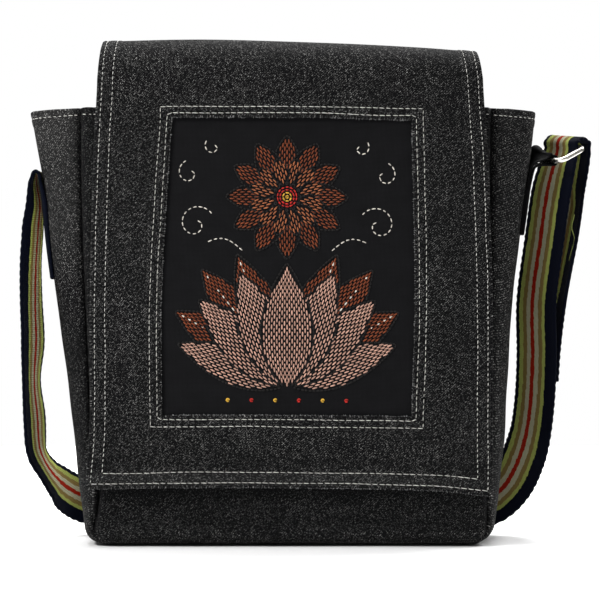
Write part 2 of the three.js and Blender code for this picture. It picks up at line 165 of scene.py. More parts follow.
def make_object(name: str, points: Array, faces: list, cloth: Array | None = None, wear_and_painted_light: Array | None = None,
                dye: Array | None = None) -> Piece:
    """Puts points and faces into a smooth mesh object at the origin.

    Args:
        name: the piece's name.
        points: vertex places in millimetres.
        faces: vertex numbers of each face.
        cloth: each vertex's place on the flat cloth in millimetres, kept as the attribute "cloth".
        wear_and_painted_light: the dye's wear at each vertex plus painted light and shade, 1 on plain cloth,
            kept under this name.
        dye: each vertex's linear colour, kept as the attribute "dye".

    Returns:
        The new object, linked to the scene.
    """
    mesh = bpy.data.meshes.new(name)
    mesh.from_pydata((points * MM).tolist(), [], faces)
    mesh.polygons.foreach_set("use_smooth", np.ones(len(mesh.polygons), bool))
    if cloth is not None:
        layer = mesh.attributes.new("cloth", "FLOAT_VECTOR", "POINT")
        layer.data.foreach_set("vector", np.ascontiguousarray(cloth, np.float32).ravel())
    if wear_and_painted_light is not None:
        layer = mesh.attributes.new("wear_and_painted_light", "FLOAT", "POINT")
        layer.data.foreach_set("value", np.ascontiguousarray(wear_and_painted_light, np.float32))
    if dye is not None:
        layer = mesh.attributes.new("dye", "FLOAT_COLOR", "POINT")
        layer.data.foreach_set("color", np.column_stack([dye, np.ones(len(dye))]).astype(np.float32).ravel())
    mesh.update()
    piece = bpy.data.objects.new(name, mesh)
    bpy.context.scene.collection.objects.link(piece)
    return piece


INNER_PLACE = (0.0, 400.0, 1.0)  # moves the inner face's pattern away from the outer face's
EDGE_PLACE = (0.0, 0.0, 0.5)


@dataclass
class ClothSlab:
    """A cloth wall of some thickness round a grid of middle points, with half-round edges.

    The outer face is the grid moved along its normals by the outer relief, the inner face by the inner one
    the other way, and a half circle between them closes each edge, also round a hole.
    """

    grid: Array
    outer: Array | float
    inner: Array | float
    hole: tuple[int, int, int, int] | None = None
    wear_and_painted_light: Array | float = 1.0
    inner_wear_and_painted_light: Array | float = 1.0
    edge_wear_and_painted_light: float = 0.5
    edge_steps: int = 4

    def loops(self) -> list[Array]:
        """Vertex numbers round each open edge, with the cloth to the left of the way round."""
        rows, columns = self.grid.shape[:2]
        number = np.arange(rows * columns).reshape(rows, columns)
        rim = [number[:-1, 0], number[-1, :-1], number[:0:-1, -1], number[0, :0:-1]]
        found = [np.concatenate(rim)]
        if self.hole:
            top, bottom, left, right = self.hole
            block = number[top : bottom + 1, left : right + 1]
            rim = [block[:0:-1, 0], block[0, :-1], block[:-1, -1], block[-1, :0:-1]]
            found.append(np.concatenate(rim))
        return found

    def build(self, name: str) -> Piece:
        """Makes the closed wall.

        Args:
            name: the piece's name.

        Returns:
            The object. Its attribute "cloth" holds the run across, the run along and the side of the cloth;
            its attribute "wear_and_painted_light", the wear with painted light and shade, grows by edge_worn
            towards the middle of the edges.
        """
        rows, columns = self.grid.shape[:2]
        count = rows * columns
        normals = surface_normals(self.grid)
        outer = np.broadcast_to(self.outer, (rows, columns))[..., None]
        inner = np.broadcast_to(self.inner, (rows, columns))[..., None]
        down = run_lengths(self.grid)
        over = run_lengths(self.grid.swapaxes(0, 1)).swapaxes(0, 1)
        over = over - over.mean(axis=1, keepdims=True)
        places = np.stack([over, down, np.zeros_like(over)], axis=-1).reshape(count, 3)
        sides = (self.grid + normals * outer, self.grid - normals * inner)
        points = [side.reshape(count, 3) for side in sides]
        cloth = [places, places + INNER_PLACE]
        face_wear_and_painted_light = np.broadcast_to(self.wear_and_painted_light, (rows, columns)).reshape(count)
        wear_and_painted_light = [face_wear_and_painted_light, np.broadcast_to(self.inner_wear_and_painted_light, (rows, columns)).reshape(count)]

        number = np.arange(count).reshape(rows, columns)
        keep = np.ones((rows - 1, columns - 1), bool)
        if self.hole:
            top, bottom, left, right = self.hole
            keep[top:bottom, left:right] = False
        quads = np.stack([number[:-1, :-1], number[1:, :-1], number[1:, 1:], number[:-1, 1:]], axis=-1)[keep]
        faces = [quads, quads[:, ::-1] + count]

        middle = (self.grid + normals * (outer - inner) / 2.0).reshape(count, 3)
        half = ((outer + inner) / 2.0).reshape(count, 1)
        flat_normals = normals.reshape(count, 3)
        total = 2 * count
        for loop in self.loops():
            forward = unit(np.roll(middle[loop], -1, axis=0) - np.roll(middle[loop], 1, axis=0))
            outward = unit(np.cross(forward, flat_normals[loop]))
            rings = [loop]
            for turn in np.linspace(0.0, np.pi, self.edge_steps + 1)[1:-1]:
                swing = flat_normals[loop] * np.cos(turn) + outward * np.sin(turn)
                points.append(middle[loop] + half[loop] * swing)
                cloth.append(places[loop] + EDGE_PLACE)
                wear_and_painted_light.append(face_wear_and_painted_light[loop] + self.edge_wear_and_painted_light * np.sin(turn))
                rings.append(np.arange(total, total + len(loop)))
                total += len(loop)
            rings.append(loop + count)
            for near, far in zip(rings[:-1], rings[1:]):
                faces.append(np.stack([np.roll(near, -1), near, far, np.roll(far, -1)], axis=-1))
        used, numbers = np.unique(np.concatenate(faces), return_inverse=True)
        kept, places, wear_and_painted_light = (np.concatenate(part)[used] for part in (points, cloth, wear_and_painted_light))
        return make_object(name, kept, numbers.reshape(-1, 4).tolist(), places, wear_and_painted_light)


def linear(colour: str) -> tuple[float, float, float, float]:
    """Turns an sRGB hex colour to linear values with full opacity."""
    part = np.array([int(colour[k : k + 2], 16) for k in (0, 2, 4)]) / 255.0
    value = np.where(part <= 0.04045, part / 12.92, ((part + 0.055) / 1.055) ** 2.4)
    return (float(value[0]), float(value[1]), float(value[2]), 1.0)


@dataclass(frozen=True)
class Seam:
    """How a row is sewn.

    The fields are the stitch spacing, the share of it that thread covers, the thread's width and colour, the
    slant, and how far places and shades differ by chance.
    """

    pitch: float
    share: float
    width: float
    colour: str
    slant: float = 0.1
    uneven: float = 0.05
    shades: Pair = (0.7, 1.1)


@dataclass(frozen=True)
class Stitches:
    """Short threads on a surface: where each starts and ends, the way off the cloth, width and colour."""

    start: Array
    end: Array
    normal: Array
    width: Array
    dye: Array

    @staticmethod
    def along(path: Array, normals: Array, seam: Seam, seed: int) -> "Stitches":
        """Lays a row of stitches on a dense line of points.

        The line's length is shared into equal pitches; each stitch covers its share of a pitch, is moved a
        little by chance and leans to one side.

        Args:
            path: points of the line.
            normals: the way off the cloth at each point.
            seam: how the row is sewn.
            seed: for the small differences between stitches.

        Returns:
            The row's stitches.
        """
        run = run_lengths(path)
        count = max(1, round(run[-1] / seam.pitch))
        step = run[-1] / count
        source = np.random.default_rng(seed)
        chance = source.normal(0.0, seam.uneven, (2, count)) * step
        middle = (np.arange(count) + 0.5) * step
        begin = middle - step * seam.share / 2.0 + chance[0]
        finish = middle + step * seam.share / 2.0 + chance[1]

        def at(place: Array, values: Array) -> Array:
            """Values of the line at given runs."""
            return np.stack([np.interp(place, run, values[:, k]) for k in range(3)], axis=-1)

        normal = unit(at(middle, normals))
        side = unit(np.cross(at(finish, path) - at(begin, path), normal)) * seam.slant
        dye = np.array(linear(seam.colour)[:3]) * source.uniform(*seam.shades, (count, 1))
        width = np.full(count, seam.width)
        return Stitches(at(begin, path) - side, at(finish, path) + side, normal, width, dye)

    @staticmethod
    def joined(rows: "list[Stitches]") -> "Stitches":
        """All the stitches of several rows."""
        parts = ("start", "end", "normal", "width", "dye")
        return Stitches(*(np.concatenate([getattr(row, part) for row in rows]) for part in parts))

    def build(self, name: str, rise: float) -> Piece:
        """Makes the threads as one mesh of small closed tubes.

        Each tube runs straight from start to end. Its radius and its height over the cloth both follow the
        square root of a half sine, so that its ends dive into the cloth.

        Args:
            name: the piece's name.
            rise: how far the middle stands off the cloth.

        Returns:
            The object.
        """
        rings, sides = 5, 6
        thin, flat = 0.3, 0.75  # least share of the radius, and the section's height to its width
        t = np.linspace(0.04, 0.96, rings)[None, :, None]
        swell = np.sqrt(np.sin(np.pi * t))
        axis = self.end - self.start
        side = unit(np.cross(axis, self.normal))[:, None, None, :]
        up = self.normal[:, None, None, :]
        centre = self.start[:, None] + axis[:, None] * t + self.normal[:, None] * (rise * (2.0 * swell - 1.0))
        turn = np.linspace(0.0, 2.0 * np.pi, sides, endpoint=False)[None, None, :, None]
        radius = (self.width[:, None, None] / 2.0 * (thin + (1.0 - thin) * swell))[..., None]
        shell = centre[:, :, None] + radius * (side * np.cos(turn) + up * (flat * np.sin(turn)))
        count = len(self.start)
        number = np.arange(count * rings * sides).reshape(count, rings, sides)
        after = np.roll(number, -1, axis=2)
        walls = np.stack([number[:, :-1], after[:, :-1], after[:, 1:], number[:, 1:]], axis=-1).reshape(-1, 4)
        caps = np.concatenate([number[:, 0, ::-1], number[:, -1]])
        faces = walls[:, ::-1].tolist() + caps[:, ::-1].tolist()
        return make_object(name, shell.reshape(-1, 3), faces, dye=np.repeat(self.dye, rings * sides, axis=0))


class Side(Enum):
    """The bag's two sides, as seen from the front."""

    LEFT = -1
    RIGHT = 1

    def column(self, word: str) -> str:
        """The name of a table's column for this side."""
        return f"{word}_{self.name.lower()}"


SIDE_COLUMNS = ("height", "seam_left", "swell_left", "seam_right", "swell_right", "half_depth")
SIDE_ROWS = (
    (13.0, 134.0, 6.5, 134.0, 5.5, 38.0),
    (32.0, 134.0, 9.0, 134.0, 8.0, 38.0),
    (72.0, 135.0, 12.5, 134.5, 12.0, 37.0),
    (110.0, 136.5, 15.5, 135.0, 13.5, 35.5),
    (150.0, 138.5, 19.0, 135.5, 15.5, 33.0),
    (200.0, 141.0, 23.5, 136.0, 20.0, 30.0),
    (250.0, 142.5, 27.5, 136.5, 26.5, 27.2),
    (280.0, 143.0, 32.0, 137.0, 29.5, 25.6),
    (298.0, 143.0, 35.0, 137.0, 31.0, 25.0),
)
CORNER_ROWS = ((0.0, 6.5, 5.5), (30.0, 5.6, 3.6), (60.0, 3.4, 2.2), (90.0, 3.0, 3.0))


@dataclass(frozen=True)
class BodyShape:
    """The body's outline in millimetres, with the sizes that the CAD source has."""

    wall: float = 2.0
    sewn_gap: float = 0.4
    base_seam: float = 4.0
    front_top: float = 298.0
    back_top: float = 308.0
    corner: float = 9.0
    belly: float = 4.0
    flat_share: float = 0.7
    seam_inset: float = 2.2
    mouth_slope: float = 1.8
    back_corner: tuple[float, float, float] = (0.82, 0.97, 250.0)
    sides: Table = Table(SIDE_COLUMNS, SIDE_ROWS)
    corners: Table = Table(("turn", "out_left", "out_right"), CORNER_ROWS)

    def half_depth(self, height: Array) -> Array:
        """Half the body's depth at a height."""
        return self.sides("half_depth", height)

    def seam(self, side: Side, height: Array) -> Array:
        """Distance of a side's seam from the middle, with the lower corner rounded to a quarter circle."""
        below = np.maximum(0.0, self.base_seam + self.corner - height)
        rounded = np.sqrt(np.maximum(0.0, self.corner**2 - below**2))
        return self.sides(side.column("seam"), height) - self.corner + rounded

    def fold(self, side: Side, height: Array) -> Array:
        """Distance of the gusset's fold from the middle: the seam and the swell past it."""
        return self.sides(side.column("seam"), height) + self.sides(side.column("swell"), height)

    def fall(self, side: Side, depth: Array, height: Array) -> Array:
        """How far the gusset lies behind its fold at a depth: its swell times the fourth power of across."""
        across = np.clip(depth / (self.half_depth(height) - self.seam_inset), -1.0, 1.0)
        return self.sides(side.column("swell"), height) * across**4

    def swell(self, across: Array, height: Array) -> Array:
        """How far a panel bellies out: a parabola across times half a sine up the body."""
        share = np.clip((height - self.base_seam) / (self.front_top - self.base_seam), 0.0, 1.0)
        return self.belly * (1.0 - across**2) * np.sin(np.pi * share)

    def panel_height(self, across: Array, height: Array, top: float) -> Array:
        """A panel's height at a place across: a top above the mouth drops to the mouth at its corners."""
        start, end, low = self.back_corner
        return height - (top - self.front_top) * ease(np.abs(across), start, end) * ease(height, low, top)

    def panel(self, facing: int, across: Array, height: Array) -> Array:
        """Points of a panel's middle surface.

        Args:
            facing: -1 for the front panel, 1 for the back panel.
            across: from -1 at the left seam to 1 at the right seam.
            height: height over the floor.

        Returns:
            The points: across is carried to x between the seams, and y is the half depth plus the belly.
        """
        left, right = self.seam(Side.LEFT, height), self.seam(Side.RIGHT, height)
        x = -left + (across + 1.0) / 2.0 * (left + right)
        y = facing * (self.half_depth(height) + self.swell(across, height))
        return np.stack(np.broadcast_arrays(x, y, height), axis=-1)


@dataclass
class BagBody:
    """The front panel, the back panel and the gusset, with the hem round the mouth."""

    shape: BodyShape
    denim: Material
    thread: Material
    hem: float = 9.0
    hem_row: float = 3.7
    crease_lean: float = 4.6
    lean_rise: Pair = (0.0, 38.0)
    lean_fall: Pair = (44.0, 64.0)
    # height of the painted shadow below the flap's lower edge
    flap_shadow_height: float = 38.0
    panel_half: float = 140.0  # about half a panel's width
    gusset_half: float = 34.0  # about half the gusset's width
    stitch_lift: float = 0.15
    seam: Seam = Seam(3.7, 0.72, 0.5, "CFCDC6")
    pieces: list[Piece] = field(default_factory=list)

    def build(self) -> list[Piece]:
        """Builds and dresses the three walls and the hem's stitches."""
        front = self.panel_wall("front_panel_cloth", -1, self.shape.front_top)
        back = self.panel_wall("back_panel_cloth", 1, self.shape.back_top)
        gusset = self.gusset_wall()
        for piece, solid in ((front, "front_panel"), (back, "back_panel"), (gusset, "gusset")):
            dress(piece, self.denim)
            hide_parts(solid)
        self.pieces += [front, back, gusset, self.hem_stitches()]
        return self.pieces

    def mouth_relief(self, below: Array, run: Array) -> Array:
        """The hem at the mouth: a second layer down to its depth, a dent along its row and small puckers."""
        layer = 0.45 * (1.0 - ease(below, self.hem - 0.7, self.hem + 0.7))
        row = -0.35 * dip(below - self.hem_row, 0.9)
        pucker = 0.25 * ripple(run, below, 8.0, 1.3) * dip(below - 4.0, 5.0)
        return layer + row + pucker

    def lean(self, x: Array, height: Array) -> Array:
        """How far the front's lower left crease leans in from the seam: most at the flap's lower edge."""
        return np.where(x < 0.0, self.crease_lean, 0.0) * hump(height, self.lean_rise, self.lean_fall)

    def panel_wall(self, name: str, facing: int, top: float) -> Piece:
        """A panel's wall with its hem, soft dents and a lower edge that rolls under.

        Painted shade darkens the seams' creases, a painted shadow darkens the front just below the flap, and
        a painted highlight lightens the band along the base; the strip past the leaning crease is painted
        lighter.
        """
        low = self.shape.base_seam
        near_base = low + self.shape.corner * (1.0 - np.cos(np.linspace(0.0, np.pi / 2.0, 9)))
        heights = np.concatenate([near_base, np.linspace(near_base[-1] + 2.0, top - 14.0, 90)])
        heights = np.concatenate([heights, np.linspace(top - 13.0, top - self.shape.wall / 2.0, 12)])[::-1]
        middle = np.linspace(-1.0, 1.0, 161)
        across = facing * -0.993 * (middle + 0.16 * np.sin(np.pi * middle))
        height, across = np.meshgrid(heights, across, indexing="ij")
        grid = self.shape.panel(facing, across, self.shape.panel_height(across, height, top))
        dents = 0.7 * ripple(grid[..., 0], height / 14.0, 74.0, 0.8) * dip(height - 22.0, 24.0)
        dents += 0.5 * ripple(height, grid[..., 0] / 12.0, 90.0, 2.2)
        edge = (1.0 - np.abs(across)) * self.panel_half
        pucker = 0.35 * ripple(height, edge, 9.0, 0.6) * dip(edge - 3.0, 5.0)
        lower = 1.0 - ease(height, 30.0, 70.0)
        past = edge - (self.lean(grid[..., 0], height) if facing < 0 else 0.0)
        roll = -(5.0 + 1.5 * lower) * dip(past, 1.9 + 0.9 * lower) - 1.6 * dip(height - low, 2.2)
        roll += 1.1 * dip(height - low - 4.5, 2.4) - 0.8 * dip(height - low - 10.5, 2.6)
        grid[..., 1] += facing * (roll + dents * ease(edge, 0.0, 20.0))
        outer = self.shape.wall / 2.0 + pucker + self.mouth_relief(top - height, grid[..., 0])
        # a painted highlight along the roll at the base
        wear_and_painted_light = 0.64 + 0.5 * dip(height - low - 4.0, 2.6)
        # painted shadow on the front just below the flap's lower edge
        wear_and_painted_light *= 1.0 - (0.6 * dip(height - self.flap_shadow_height, 5.0) * ease(past, 0.0, 2.0) if facing < 0 else 0.0)
        # painted light on the strip between the leaning crease and the seam
        wear_and_painted_light += 0.9 * ease(-past, 0.0, 1.6)
        # painted shade in the seams' creases
        wear_and_painted_light *= 1.0 - 0.95 * dip(past, 1.5 + 0.8 * lower)
        return ClothSlab(grid, outer, self.shape.wall / 2.0, wear_and_painted_light=wear_and_painted_light).build(name)

    def gusset_sections(self) -> tuple[Array, Array, Array, Array, Array]:
        """The gusset's sections from the left mouth, round the base, to the right mouth.

        Returns:
            The seam's x and z, the way and amount of swell in x and z, how far the fold hangs below the
            seams, the half depth, and a flatness from 0 on the sides to 1 under the base.
        """
        shape = self.shape
        low = shape.base_seam + shape.corner
        mouth = np.linspace(shape.front_top - shape.wall / 2.0, 284.0, 14)
        heights = np.concatenate([mouth, np.linspace(281.0, low + 7.0, 96)])
        turns = np.linspace(0.0, 90.0, 14)
        angle = np.radians(turns)
        seam, out, drop, depth, flat = [], [], [], [], []
        for side in (Side.LEFT, Side.RIGHT):
            zeros = np.zeros_like(heights)
            straight = shape.sides(side.column("seam"), heights)
            swell = shape.sides(side.column("swell"), heights)
            reach = shape.sides(side.column("seam"), 0.0) - shape.corner
            bulge = shape.corners(side.column("out"), turns)
            corner_x = reach + shape.corner * np.cos(angle)
            corner_z = shape.base_seam + shape.corner * (1.0 - np.sin(angle))
            order = slice(None) if side is Side.LEFT else slice(None, None, -1)
            sign = float(side.value)
            corner = np.c_[sign * corner_x, corner_z]
            seam.append(np.concatenate([np.c_[sign * straight, heights], corner])[order])
            sideways = np.c_[sign * bulge * np.cos(angle), -bulge * np.sin(angle)]
            out.append(np.concatenate([np.c_[sign * swell, zeros], sideways])[order])
            hang = shape.mouth_slope * ease(heights, 250.0, shape.front_top)
            drop.append(np.concatenate([hang, 0.0 * angle])[order])
            deepest = shape.half_depth(0.0) + 0.0 * angle
            depth.append(np.concatenate([shape.half_depth(heights), deepest])[order])
            flat.append(np.concatenate([zeros, turns / 90.0])[order])
        base = np.linspace(seam[0][-1, 0], seam[1][0, 0], 62)[1:-1]
        ones = np.ones_like(base)
        seam.insert(1, np.c_[base, shape.base_seam * ones])
        out.insert(1, np.c_[0.0 * ones, (shape.wall / 2.0 - shape.base_seam) * ones])
        drop.insert(1, 0.0 * ones)
        depth.insert(1, shape.half_depth(0.0) * ones)
        flat.insert(1, ones)
        return tuple(np.concatenate(part) for part in (seam, out, drop, depth, flat))

    def gusset_middle(self, across: Array) -> Array:
        """The gusset's middle surface.

        Each section swells from its seams by 1 minus the fourth power of across on the sides; under the base
        the middle is flat and only the edges curve up, as a parabola.

        Args:
            across: from -1 at the front seam to 1 at the back seam, one a column.

        Returns:
            The grid, a row for each section.
        """
        seam, out, drop, depth, flat = self.gusset_sections()
        past = np.maximum(0.0, np.abs(across) - self.shape.flat_share) / (1.0 - self.shape.flat_share)
        share = (1.0 - across**4) * (1.0 - flat[:, None]) + (1.0 - past**2) * flat[:, None]
        x = seam[:, :1] + out[:, :1] * share
        y = across * (depth[:, None] - self.shape.seam_inset)
        z = seam[:, 1:] + out[:, 1:] * share - drop[:, None] * share
        return np.stack(np.broadcast_arrays(x, y, z), axis=-1)

    def gusset_wall(self) -> Piece:
        """The gusset's wall with its mouth hem, puckered seams and soft creases; painted light on the left
        side towards the top and near the base, painted shade in the seams' creases, and darker along its
        middle.
        """
        even = np.linspace(1.0, -1.0, 61)
        across = even + 0.24 * np.sin(np.pi * even)
        grid = self.gusset_middle(across)
        flat = self.gusset_sections()[4][:, None]
        below = np.maximum(0.0, self.shape.front_top - grid[..., 2] - 2.0)
        edge = (1.0 - np.abs(across)) * self.gusset_half
        run = run_lengths(grid)
        pucker = 0.4 * ripple(run, edge, 9.0, 2.4) * dip(edge - 2.0, 4.0) * (1.0 - flat)
        crease = 0.4 * ripple(run, across * 5.0, 62.0, 0.9) * (1.0 - across**2) * (1.0 - flat)
        crease *= ease(below, 12.0, 50.0)
        grid += surface_normals(grid) * crease[..., None]
        lean = np.where(across < 0.0, self.lean(grid[..., 0], grid[..., 2]), 0.0)
        tuck = (2.2 * dip(edge, 2.4) + 3.0 * dip(edge, 0.8)) * dip(lean, 2.8)
        grid[..., 1] -= np.sign(across) * tuck * (1.0 - flat)
        top = np.minimum(run, run[-1] - run)
        outer = self.shape.wall / 2.0 + pucker + self.mouth_relief(top, across * 30.0)
        # painted light: the left side lighter towards the top and near the base
        left = 0.6 + 1.15 * ease(grid[..., 2], 150.0, 225.0) + 0.35 * ease(grid[..., 2], 262.0, 285.0)
        left += 0.6 * (1.0 - ease(grid[..., 2], 36.0, 80.0))
        wear_and_painted_light = np.where(grid[..., 0] < 0.0, left, 1.3) * (0.7 + 0.3 * ease(np.abs(across), 0.0, 0.4))
        # painted shade in the seams' creases, less where the crease leans
        wear_and_painted_light *= 1.0 - 0.92 * dip(edge, 0.9) * (1.0 - flat) * dip(lean, 2.3)
        return ClothSlab(grid, outer, self.shape.wall / 2.0, wear_and_painted_light=wear_and_painted_light).build("gusset_cloth")

    def hem_stitches(self) -> Piece:
        """The rows of stitches below the mouth's edge, on the gusset's two ends and on the two panels."""
        across = np.linspace(0.99, -0.99, 60)
        grid = self.gusset_middle(across)
        normals = surface_normals(grid)
        run = run_lengths(grid)
        from_mouth = np.minimum(run, run[-1] - run)[:, 30]
        half = len(grid) // 2
        rows = []
        for section in (slice(0, half), slice(half, None)):
            near = np.argmin(np.abs(from_mouth[section] - self.hem_row)) + (section.start or 0)
            line = grid[near] + normals[near] * (self.shape.wall / 2.0 + self.stitch_lift)
            rows.append(Stitches.along(line, normals[near], self.seam, near))
        share = np.linspace(-0.994, 0.994, 120)
        for facing, top in ((-1, self.shape.front_top), (1, self.shape.back_top)):
            level = self.shape.panel_height(share, np.full_like(share, top - self.hem_row - 1.0), top)
            way = np.tile((0.0, float(facing), 0.0), (len(share), 1))
            line = self.shape.panel(facing, share, level) + way * (self.shape.wall / 2.0 + self.stitch_lift)
            rows.append(Stitches.along(line, way, self.seam, 7))
        piece = Stitches.joined(rows).build("mouth_hem_stitches", 0.18)
        return dress(piece, self.thread)


FLAP_WIDTH_ROWS = (
    (0.0, 127.0, 126.0),
    (0.5, 128.0, 127.0),
    (1.0, 131.0, 131.0),
    (1.2, 133.5, 134.5),
    (1.55, 135.5, 137.0),
    (1.85, 135.0, 136.5),
    (2.0, 137.5, 136.5),
)
FLAP_EDGE_ROWS = ((-1.0, 39.5, 1.5), (-0.4, 40.5, 0.0), (0.15, 40.0, 1.6), (0.7, 38.5, 5.4), (1.0, 34.5, 8.4))
WINDOW_ROWS = ((89.0, 86.5, 82.0), (170.0, 87.0, 84.5), (289.0, 80.5, 82.8))


@dataclass(frozen=True)
class FlapShape:
    """The flap's middle surface: along is 0 at its edge on the back, 1 past the crest, 2 at the hem."""

    body: BodyShape
    sewn_from: float = 290.0
    arch_start: float = 317.0
    room: float = 2.6
    flare: float = 5.0
    flare_along: Pair = (1.7, 2.0)
    lift: float = 1.9
    lift_across: Pair = (0.1, 0.6)
    lift_rise: Pair = (1.02, 1.1)
    lift_fall: Pair = (1.2, 1.6)
    window_top: float = 289.0
    window_bottom: float = 89.0
    widths: Table = Table(("along", "width_left", "width_right"), FLAP_WIDTH_ROWS)
    edges: Table = Table(("across", "height", "sag"), FLAP_EDGE_ROWS)
    window: Table = Table(("height", "reach_left", "reach_right"), WINDOW_ROWS)

    @property
    def front_length(self) -> float:
        """Length of the front from the end of the crest to the middle of the lower edge."""
        return self.arch_start - float(self.edges("height", 0.0))

    @property
    def crest_length(self) -> float:
        """Length of the lap on the back and the half circle over the crest."""
        depth = 2.0 * float(self.body.half_depth(self.arch_start)) + 2.0 * self.body.wall
        radius = (depth + self.room + 2.0 * self.body.sewn_gap) / 2.0
        return self.arch_start - self.sewn_from + np.pi * radius

    def front_along(self, height: Array | float) -> Array:
        """Where a height on the front lies along the flap."""
        return 1.0 + (self.arch_start - height) / self.front_length

    def height(self, along: Array) -> Array:
        """The height on the front that an along stands for, at the middle of the flap."""
        return self.arch_start - (along - 1.0) * self.front_length

    def run(self, along: Array) -> Array:
        """Millimetres along the flap from its sewn edge."""
        return np.minimum(along, 1.0) * self.crest_length + np.maximum(along - 1.0, 0.0) * self.front_length

    def edge(self, side: Side, along: Array) -> Array:
        """Distance of a side edge from the middle."""
        return self.widths(side.column("width"), along)

    def opening(self, side: Side, along: Array) -> Array:
        """Distance of the window's side from the middle."""
        return self.window(side.column("reach"), self.height(along))

    def middle(self, x: Array, along: Array, inset: float = 0.0) -> Array:
        """Points of the surface.

        The lap follows the back panel, a half circle makes the crest, lowered by its sag, and the front hangs
        straight before the front panel and stands off a little towards its lower corners; its upper left part
        sits a little higher.

        Args:
            x: places across.
            along: places along, 0 to 2.
            inset: how far to move towards the body.

        Returns:
            The points.
        """
        left, right = self.edge(Side.LEFT, along), self.edge(Side.RIGHT, along)
        across = np.clip(2.0 * (x + left) / (left + right) - 1.0, -1.0, 1.0)
        body, start = self.body, self.arch_start

        def front(height: Array) -> Array:
            """The front's y before the front panel."""
            away = self.flare * ease(along, *self.flare_along) * (0.3 + 0.7 * across**2)
            panel = -body.half_depth(height) - body.swell(across, height) - body.wall
            return panel - self.room + inset - away

        def back(height: Array) -> Array:
            """The lap's y behind the back panel."""
            return body.half_depth(height) + body.swell(across, height) + body.wall + 2.0 * body.sewn_gap

        near, far = front(start), back(start)
        radius = (far - near) / 2.0
        lap = start - self.sewn_from
        run = along * (lap + np.pi * radius)
        angle = (run - lap) / radius
        low = self.edges("height", across)
        hang = start + (low - start) * (along - 1.0)
        lifted = self.lift * (1.0 - ease(across, *self.lift_across))
        hang = hang + lifted * hump(along, self.lift_rise, self.lift_fall)
        rise = self.sewn_from + run
        crest_y = (near + far) / 2.0 + radius * np.cos(angle)
        crest_z = start + (radius - self.edges("sag", across)) * np.sin(angle)
        y = np.where(along > 1.0, front(hang), np.where(run < lap, back(rise), crest_y))
        z = np.where(along > 1.0, hang, np.where(run < lap, rise, crest_z))
        return np.stack(np.broadcast_arrays(x, y, z), axis=-1)

    def normal(self, x: Array, along: Array) -> Array:
        """The way out of the surface: the step along crossed with the step across."""
        near, aside = 0.004, 0.5
        step = self.middle(x, np.minimum(along + near, 2.0)) - self.middle(x, np.maximum(along - near, 0.0))
        return unit(np.cross(step, self.middle(x + aside, along) - self.middle(x - aside, along)))


HEM_STEPS = (1.0, 1.6, 2.4, 3.2, 4.0, 5.0, 6.7, 8.4, 9.5, 10.3, 11.1, 11.9, 12.7, 13.6)  # from the edge in
FRAME_STEPS = (13.0, 11.6, 10.4, 9.4, 8.6, 7.8, 7.0, 6.2, 5.2, 4.0, 3.0, 2.2, 1.5, 1.0)  # to the window
ELSEWHERE = 999.0  # a distance larger than any on the flap


